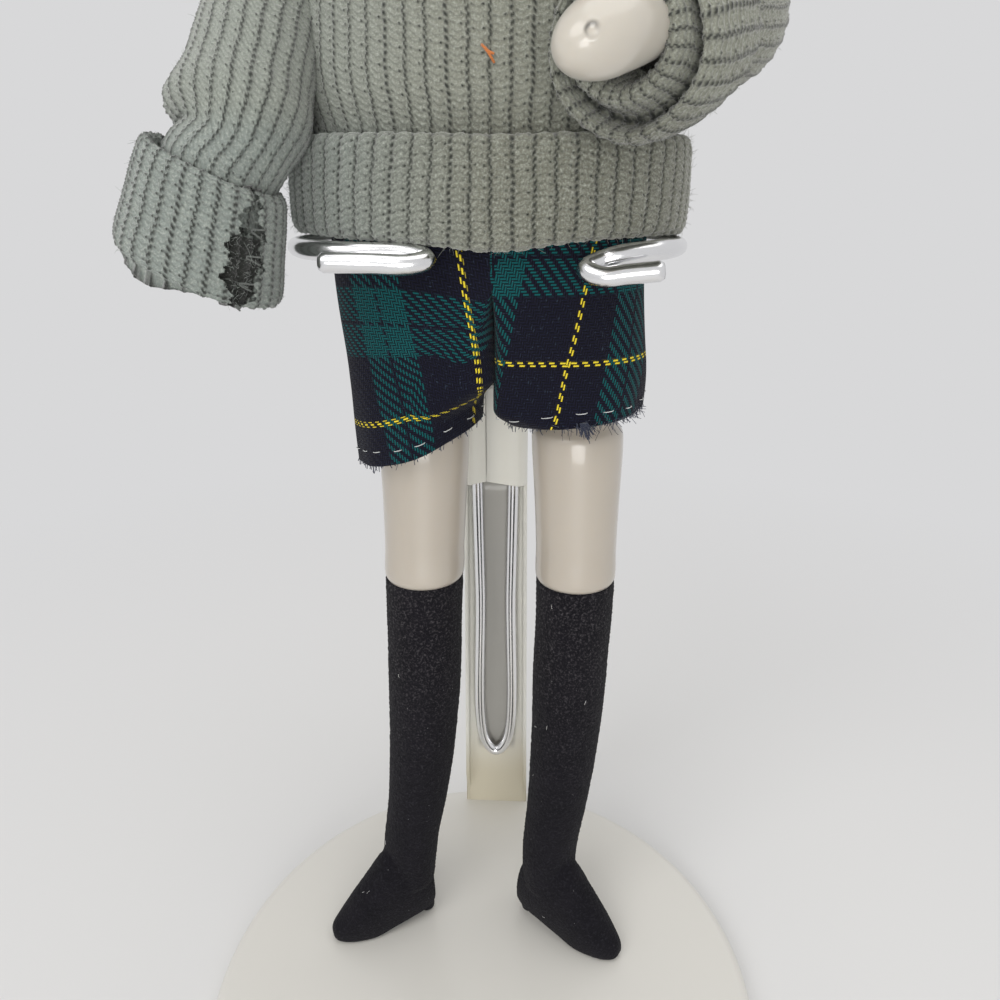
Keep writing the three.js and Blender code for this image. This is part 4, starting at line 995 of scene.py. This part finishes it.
sweater, places, normals, v = knitted("sweater_body_knit", rows, BODY_RIBS, drift, edge=0.47,
                                      crowd=0.1)
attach(sweater, "trunk")
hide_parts("sweater_body")
length = float(np.linalg.norm(np.diff(rows, axis=0), axis=2).sum(axis=0).mean()) * MM
fuzz = stray_hairs("sweater_body_fuzz", places[BARE_ROWS:], normals[BARE_ROWS:], count=6000,
                   longest=1.2)
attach(fuzz, "trunk")
orange = woven("orange_lint", linear(222, 132, 66), scale=1800.0)
flecks = []
for path in ([(0.4, 8.2, 153.2), (0.9, 7.8, 152.7), (1.5, 7.8, 151.9), (1.9, 8.2, 151.3)],
             [(0.8, 8.2, 152.9), (1.3, 7.75, 152.4), (1.9, 7.9, 152.2)]):
    flecks.append(thread_along(path, steps=10, thickness=0.16, sides=8))
lint_fleck = merged("sweater_lint", flecks)
lint_fleck.data.materials.append(orange)
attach(lint_fleck, "trunk")

# The sleeves are knitted tubes set into round armholes. One hangs down at the side and bags
# a little at the elbow; the other is bent across the front.
SLEEVE = {
    "right": [(-20, 24, 164.9), (-26.6, 22.8, 162.6), (-28.9, 18.4, 156.8), (-29.8, 13.2, 149.6),
              (-31.0, 8.8, 142), (-33.2, 7.2, 138.6), (-34.6, 6.2, 133.6)],
    "left": [(20, 24, 164.9), (27, 23.2, 162.8), (30.2, 19.4, 158.6), (29.8, 14, 156.4),
             (26.4, 8, 155.2), (23.4, 4, 154.4)],
}
SLEEVE_R = {"right": (8, 8.3, 8.4, 8.3, 8.2, 8.6, 8.5, 7.9, 7.6, 7.6),
            "left": (8, 8.2, 8.2, 8.2, 8.2, 8.2, 8, 7.4)}
SLEEVE_ROWS, TUBE_SIDES = 190, 288
for side in ("right", "left"):
    path, radii = line_through(SLEEVE[side], SLEEVE_ROWS), SLEEVE_R[side]
    evenly = [(k / (len(radii) - 1), r) for k, r in enumerate(radii)]
    radius = line_through(evenly, SLEEVE_ROWS)[:, 1]
    rows = sweep(path, radius - KNIT_HIGH, TUBE_SIDES)
    if side == "right":
        away = rows - path[:, None]
        outer_side = np.clip(-away[:, :, 0] / radius[:, None], 0, 1) ** 2
        bag = 2.0 * hill(path[:, 2:3] - 145.2, 3.4) * outer_side
        bag = bag + 0.7 * hill(path[:, 2:3] - 146.0, 2.4) - 0.8 * hill(path[:, 2:3] - 141.4, 1.8)
        rows = rows + away / radius[:, None, None] * bag[:, :, None]
    sleeve, places, normals, v = knitted("sleeve_" + side + "_knit", rows, SLEEVE_RIBS, edge=0.45)
    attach(sleeve, "arm_" + side)
    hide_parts("sleeve_" + side)
    fuzz = stray_hairs("sleeve_" + side + "_fuzz", places, normals, count=2000, longest=1.1)
    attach(fuzz, "arm_" + side)

# The cuffs are the sleeves' own ends folded back on themselves, so each is a double band
# that stands out from the sleeve, with a soft rounded edge at the mouth. One is torn along
# its length, and loose yarn hangs in the gap.
torn_wool = woven("torn_wool", linear(113, 118, 114), scale=1800.0)
CUFF = {
    "right": ((-33.4, 7.2, 140.0), (-36.3, 4.6, 127.2), (-0.44, 0.0, -0.9),
              [(-11, 7.4), (-12.9, 7.6), (-13.6, 8.5), (-13.0, 9.4), (-11, 9.9), (-6, 10.5),
               (-1.5, 11.0), (-0.3, 10.7), (0.1, 10.0), (-0.5, 9.4), (-2.5, 9.2), (-8, 8.8)]),
    "left": ((24.5, 8.6, 154.4), (16.2, -2.4, 151.3), (-0.52, -0.83, -0.2),
             [(-11, 8.5), (-12, 8.7), (-12.4, 9.4), (-11.6, 10.1), (-7, 10.8), (-3, 10.7),
              (-0.9, 10.1), (-0.1, 9.3), (-0.6, 8.6), (-3.2, 8.2), (-2.8, 7.8), (-0.4, 7.6),
              (0.9, 6.9), (1.1, 6.0), (0.4, 5.2), (-0.8, 4.9), (-2.2, 4.8), (-6, 4.8)]),
}
HAND_HUG = {"right": 0.0, "left": 1.1}
CUFF_ROWS, CUFF_SIDES, GROOVE, LOOSE_EVERY = 220, 336, 0.592, 27
for side in ("right", "left"):
    top, mouth, facing, section = [np.array(part) for part in CUFF[side]]
    ahead = (mouth - top) / np.linalg.norm(mouth - top)
    facing = facing / np.linalg.norm(facing)
    across = np.cross((0, 1, 0) if side == "right" else (0, 0, -1), facing)
    across /= -np.linalg.norm(across)
    over = np.cross(across, facing)
    angle = np.linspace(0, 2 * np.pi, CUFF_SIDES, endpoint=False)
    line = line_through(section, CUFF_ROWS)
    shares = np.linspace(0, 1, CUFF_ROWS)
    sag = 1 + 0.03 * np.cos(2 * angle + 0.8) + 0.012 * np.sin(5 * angle)
    rows, lining, loose = [], np.zeros(len(line)), []
    if side == "right":
        lining[line[:, 0].argmax():] = 1.6 * hill(line[line[:, 0].argmax():, 0], 1.6)
    hang = hill(np.mod(angle + 1.9 + np.pi, 2 * np.pi) - np.pi, 0.45)
    hug = HAND_HUG[side] * eased(shares, 0.57, 0.7)
    for (step, radius), extra, lift in zip(line, lining, hug):
        rows.append(mouth + ahead * (step + extra * hang[:, None]) + np.array([0, 0, lift])
                    + ((radius - 0.3) * sag)[:, None]
                    * (np.cos(angle)[:, None] * across + np.sin(angle)[:, None] * over))
    # Painted shade: the inner layer hanging at the mouth, the groove between the rolls and the
    # inner layer behind the tear are painted dark.
    wear_and_painted_shade = 0.35 * lining[:, None] * hang[None]
    if side == "left":
        wear_and_painted_shade = wear_and_painted_shade + 0.5 * hill(shares - GROOVE, 0.022)[:, None]
    else:
        share = np.clip(-line[:, 0:1] / 13, 0, 1)
        frayed = 0.05 * np.sin(line[:, 0:1] * 1.7 + 1) + 0.025 * np.sin(line[:, 0:1] * 5.3)
        turn = np.mod(angle[None] + 0.72 - 0.1 * share + frayed + np.pi, 2 * np.pi) - np.pi
        gape = 0.24 * (0.15 + 0.85 * np.sin(np.pi * np.clip(share, 0, 1) ** 0.8))
        place = np.arange(len(line))[:, None]
        outside = (place > line[:, 0].argmin()) & (place < line[:, 0].argmax())
        torn = (np.abs(turn) < gape) & outside
        wear_and_painted_shade = wear_and_painted_shade + np.where((np.abs(turn) < gape + 0.12) & ~outside, 1.0, 0.0)
    cuff, places, normals, v = knitted("cuff_" + side + "_knit", rows, CUFF_RIBS, edge=0.43,
                                       wear_and_painted_shade=wear_and_painted_shade)
    if side == "right":
        shape = bmesh.new()
        shape.from_mesh(cuff.data)
        shape.verts.ensure_lookup_table()
        lost = [shape.verts[k] for k in np.flatnonzero(torn.reshape(-1))]
        bmesh.ops.delete(shape, geom=lost, context="VERTS")
        shape.to_mesh(cuff.data)
        shape.free()
        for k in np.flatnonzero(torn.any(axis=1))[9::LOOSE_EVERY]:
            left, right = np.flatnonzero(torn[k])[[0, -1]]
            reach = chance.uniform(0.35, 0.75)
            ends = places[k, left - 1], places[k, right + 1]
            if chance.random() < 0.5:
                ends = ends[::-1]
            droop = ahead * chance.uniform(0.3, 1.3) + normals[k, left] * chance.uniform(-0.3, 0.4)
            loop = [ends[0], ends[0] * (1 - reach) + ends[1] * reach + droop * 0.4, ends[0] + droop]
            loose.append(thread_along(loop, steps=14, thickness=0.11, sides=7))
    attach(cuff, "arm_" + side)
    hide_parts("cuff_" + side)
    fuzz = stray_hairs("cuff_" + side + "_fuzz", places, normals, count=2400, longest=1.1)
    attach(fuzz, "arm_" + side)
    if loose:
        yarn = merged("cuff_" + side + "_torn_yarn", loose)
        yarn.data.materials.append(torn_wool)
        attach(yarn, "arm_" + side)

# The collar is a short tube of the same knit, picked up round the neck of the sweater and
# rolled over once, so that its inner side shows outside.
collar_line = [(7.4, 175.4), (7.3, 179), (7.5, 181.2), (8.4, 182.0), (9.3, 181.4), (9.9, 179),
               (9.9, 176.6), (9.4, 175.2)]
collar_rows = turned(line_through(collar_line, 90), TUBE_SIDES)
collar_rows[:, :, 1] += BODY_Y
collar, places, normals, v = knitted("collar_knit", collar_rows, COLLAR_RIBS, outward=-1.0)
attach(collar, "trunk")
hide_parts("collar")
fuzz = stray_hairs("collar_fuzz", places, normals, count=900, longest=0.9)
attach(fuzz, "trunk")


# The head and neck are one porcelain casting that turns in the shoulder plate. The photo
# stops at the chest, so this is a plain, calm doll's face, painted before the last firing.
CHIN_Z, CROWN_Z, HEAD_Y, NECK_R = 184.0, 213.6, 23.0, 4.4
EYE_X, EYE_UP, NOSE_UP, LIPS_UP, LIPS_HALF = 4.6, 13.0, 8.4, 4.75, 2.5
HEAD = [(175.5, NECK_R, NECK_R, NECK_R), (182.5, NECK_R, NECK_R, NECK_R),
        (CHIN_Z, 5.6, 8.6, 5), (185.6, 7.6, 10.8, 6.4), (188, 9.8, 11.6, 9),
        (191, 11.3, 12, 11.6), (194, 12.1, 12.2, 13.4), (197, 12.5, 12.1, 14.4),
        (201, 12.6, 12.3, 14.8), (205, 12, 11.9, 14), (208.4, 10.4, 10.4, 12),
        (211.2, 7.6, 7.8, 8.6), (213, 4.2, 4.4, 4.6), (CROWN_Z, 0.6, 0.6, 0.6)]
levels = line_through(HEAD, 260)
even = np.linspace(0, 1, 400, endpoint=False)
angle = 2 * np.pi * even - 0.55 * np.sin(2 * np.pi * even) + np.pi / 2
z = np.repeat(levels[:, 0:1], len(angle), axis=1)
x = levels[:, 1:2] * np.cos(angle)
front_side = np.sin(angle) < 0
deep = np.where(front_side[None], levels[:, 2:3], levels[:, 3:4])
y = deep * np.sin(angle)
up = z - CHIN_Z
front = front_side[None] * np.clip(-np.sin(angle), 0, 1)[None] * (up > -0.5)
nose = 2.3 * hill(x, 1.5) * hill(up - NOSE_UP, np.where(up < NOSE_UP, 1.3, 3.6))
wings = 0.6 * hill(np.abs(x) - 1.5, 0.8) * hill(up - 7.9, 0.9)
eye_x, eye_up = np.abs(x) - EYE_X, up - EYE_UP
sockets = 0.9 * hill(eye_x, 2.2) * hill(eye_up - 0.2, 2.0)
lids = 0.45 * hill(eye_x, 1.7) * hill(eye_up, 1.1)
lips = 0.75 * hill(x, 2.3) * (hill(up - 5.3, 0.55) + hill(up - 4.1, 0.65))
mouth = 0.35 * hill(x, 2.2) * hill(up - LIPS_UP, 0.25)
cheeks = 0.5 * hill(np.abs(x) - 6.4, 2.6) * hill(up - 8.2, 2.6)
chin = 0.7 * hill(x, 2.2) * hill(up - 1.6, 1.3)
y = y + front * (sockets + mouth - nose - wings - lids - lips - cheeks - chin)
neck_y = np.where(up < -1.4, BODY_Y, HEAD_Y)
rows = np.stack([x, neck_y + y, z], -1)
head = capped(surface("head_porcelain", rows))
face = front > 0.2
almond = np.clip(1 - (eye_x / 2.3) ** 2, 0, 1)
white = face & (eye_up < 1.15 * almond) & (eye_up > -0.95 * almond) & (almond > 0)
round_eye = np.hypot(eye_x, eye_up - 0.1)
iris, pupil = white & (round_eye < 0.98), white & (round_eye < 0.48)
glint = white & (np.hypot(x - np.sign(x) * EYE_X + 0.35, eye_up - 0.5) < 0.22)
lash = face & (np.abs(eye_up - 1.2 * almond) < 0.2) & (np.abs(eye_x) < 2.35)
brow = face & (np.abs(up - 16.7 + 0.13 * (eye_x - 0.4) ** 2) < 0.3) & (np.abs(eye_x) < 2.6)
bow = 0.25 * np.cos(np.abs(x) * 2.2)
lip_arch = np.sqrt(np.clip(1 - (x / LIPS_HALF) ** 2, 0, 1))
rouge = face & (np.abs(x) < LIPS_HALF) & (up > LIPS_UP - 1.15 * lip_arch)
rouge &= up < LIPS_UP + (0.95 - bow) * lip_arch
skin = np.ones(x.shape + (4,))
skin[:, :, :3] = linear(206, 192, 177)[:3]
blush = (0.4 * hill(np.abs(x) - 6.4, 2.3) * hill(up - 8.0, 2.0) * (front > 0))[:, :, None]
skin[:, :, :3] = skin[:, :, :3] * (1 - blush) + np.array(linear(240, 157, 141)[:3]) * blush
for mask, colour in ((white, (238, 236, 230)), (iris, (98, 78, 56)), (pupil, (24, 20, 18)),
                     (glint, (250, 250, 250)), (lash, (52, 38, 30)), (brow, (104, 78, 58)),
                     (rouge, (186, 98, 92))):
    skin[mask, :3] = linear(*colour)[:3]
attribute = head.data.attributes.new("paint", "FLOAT_COLOR", "POINT")
attribute.data.foreach_set("color", skin.astype(np.float32).reshape(-1))
painted, tree, shader = new_material("painted_porcelain")
tone = tree.nodes.new("ShaderNodeAttribute")
tone.attribute_name = "paint"
tree.links.new(tone.outputs["Color"], shader.inputs["Base Color"])
wear(tree, shader, scale=90.0, smooth=0.32, rough=0.46, bump=0.04)
set_sockets(shader, Subsurface_Weight=0.1, Subsurface_Radius=(0.002, 0.0015, 0.001),
            Coat_Weight=0.35, Coat_Roughness=0.14)
head.data.materials.append(painted)
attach(head, "head")
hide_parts("head")

# The wig is a short bob of brown fibre stitched on a cap and glued over the crown, combed
# down from the top and cut straight across the forehead.
hair, tree, shader = new_material("brown_hair")
height = tree.nodes.new("ShaderNodeAttribute")
height.attribute_name = "rise"
# Painted shade: the hair is painted darker in the grooves between locks and on the wig's inner
# side, and lighter on the ridges.
strand = coloured(tree, height.outputs["Fac"], linear(68, 47, 33), linear(151, 111, 78))
tree.links.new(strand, shader.inputs["Base Color"])
wear(tree, shader, scale=1400.0, smooth=0.38, rough=0.6, bump=0.35)
set_sockets(shader, Anisotropic=0.5)
WIG_TOP_Z, FRINGE_Z, BOB_Z, CAP_GAP = CROWN_Z + 2.0, CHIN_Z + 18.2, CHIN_Z + 3.2, 0.25
angle = np.linspace(0, 2 * np.pi, 720, endpoint=False)
ahead = np.clip(-np.sin(angle), 0, 1)
fringe = eased(ahead, 0.62, 0.74)
hem_z = BOB_Z * (1 - fringe) + FRINGE_Z * fringe
hem_z = hem_z + 0.35 * np.sin(23 * angle) + 0.25 * np.sin(41 * angle + 1)
groove = 0.45 * np.sin(97 * angle) + 0.3 * np.sin(61 * angle + 2) + 0.25 * np.sin(151 * angle + 1)
groove = (groove + 1) / 2
outer_rows, inner_rows, strands = [], [], []
heads = line_through(HEAD[3:], 200)
for share in np.linspace(0, 1, 90):
    z = WIG_TOP_Z + (hem_z - WIG_TOP_Z) * share**0.62
    low = CHIN_Z + (z - CHIN_Z) * (CROWN_Z - CHIN_Z) / (WIG_TOP_Z - CHIN_Z)
    low = np.clip(low, heads[0, 0], heads[-1, 0])
    wide = np.interp(low, heads[:, 0], heads[:, 1])
    fore = np.interp(low, heads[:, 0], heads[:, 2])
    rear = np.interp(low, heads[:, 0], heads[:, 3])
    below = np.clip((CHIN_Z + 17 - z) / 2, 0, 1)
    wide = wide * (1 - below) + np.maximum(wide, 12.4) * below
    rear = rear * (1 - below) + np.maximum(rear, 13.2) * below
    cover = np.clip(share * 14, 0, 1)
    thick = (1.9 - 0.5 * fringe) * cover * np.clip((WIG_TOP_Z - z) / 2.4, 0.25, 1)
    deep = np.where(np.sin(angle) < 0, fore, rear)
    lift = thick + 0.3 * groove * cover
    ring = np.stack([(wide + lift) * np.cos(angle), HEAD_Y + (deep + lift) * np.sin(angle), z], -1)
    outer_rows.append(ring)
    strands.append(groove * cover + 0.3 * (1 - cover))
    if share > 0.55:
        inner_rows.append(np.stack([(wide + CAP_GAP) * np.cos(angle),
                                    HEAD_Y + (deep + CAP_GAP) * np.sin(angle), z], -1))
rows = np.array(outer_rows + inner_rows[::-1])
strands = np.array(strands + [np.full(len(angle), 0.2)] * len(inner_rows))
wig = capped(surface("wig_bob", rows, rise=strands))
wig.data.materials.append(hair)
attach(wig, "head")
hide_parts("wig")
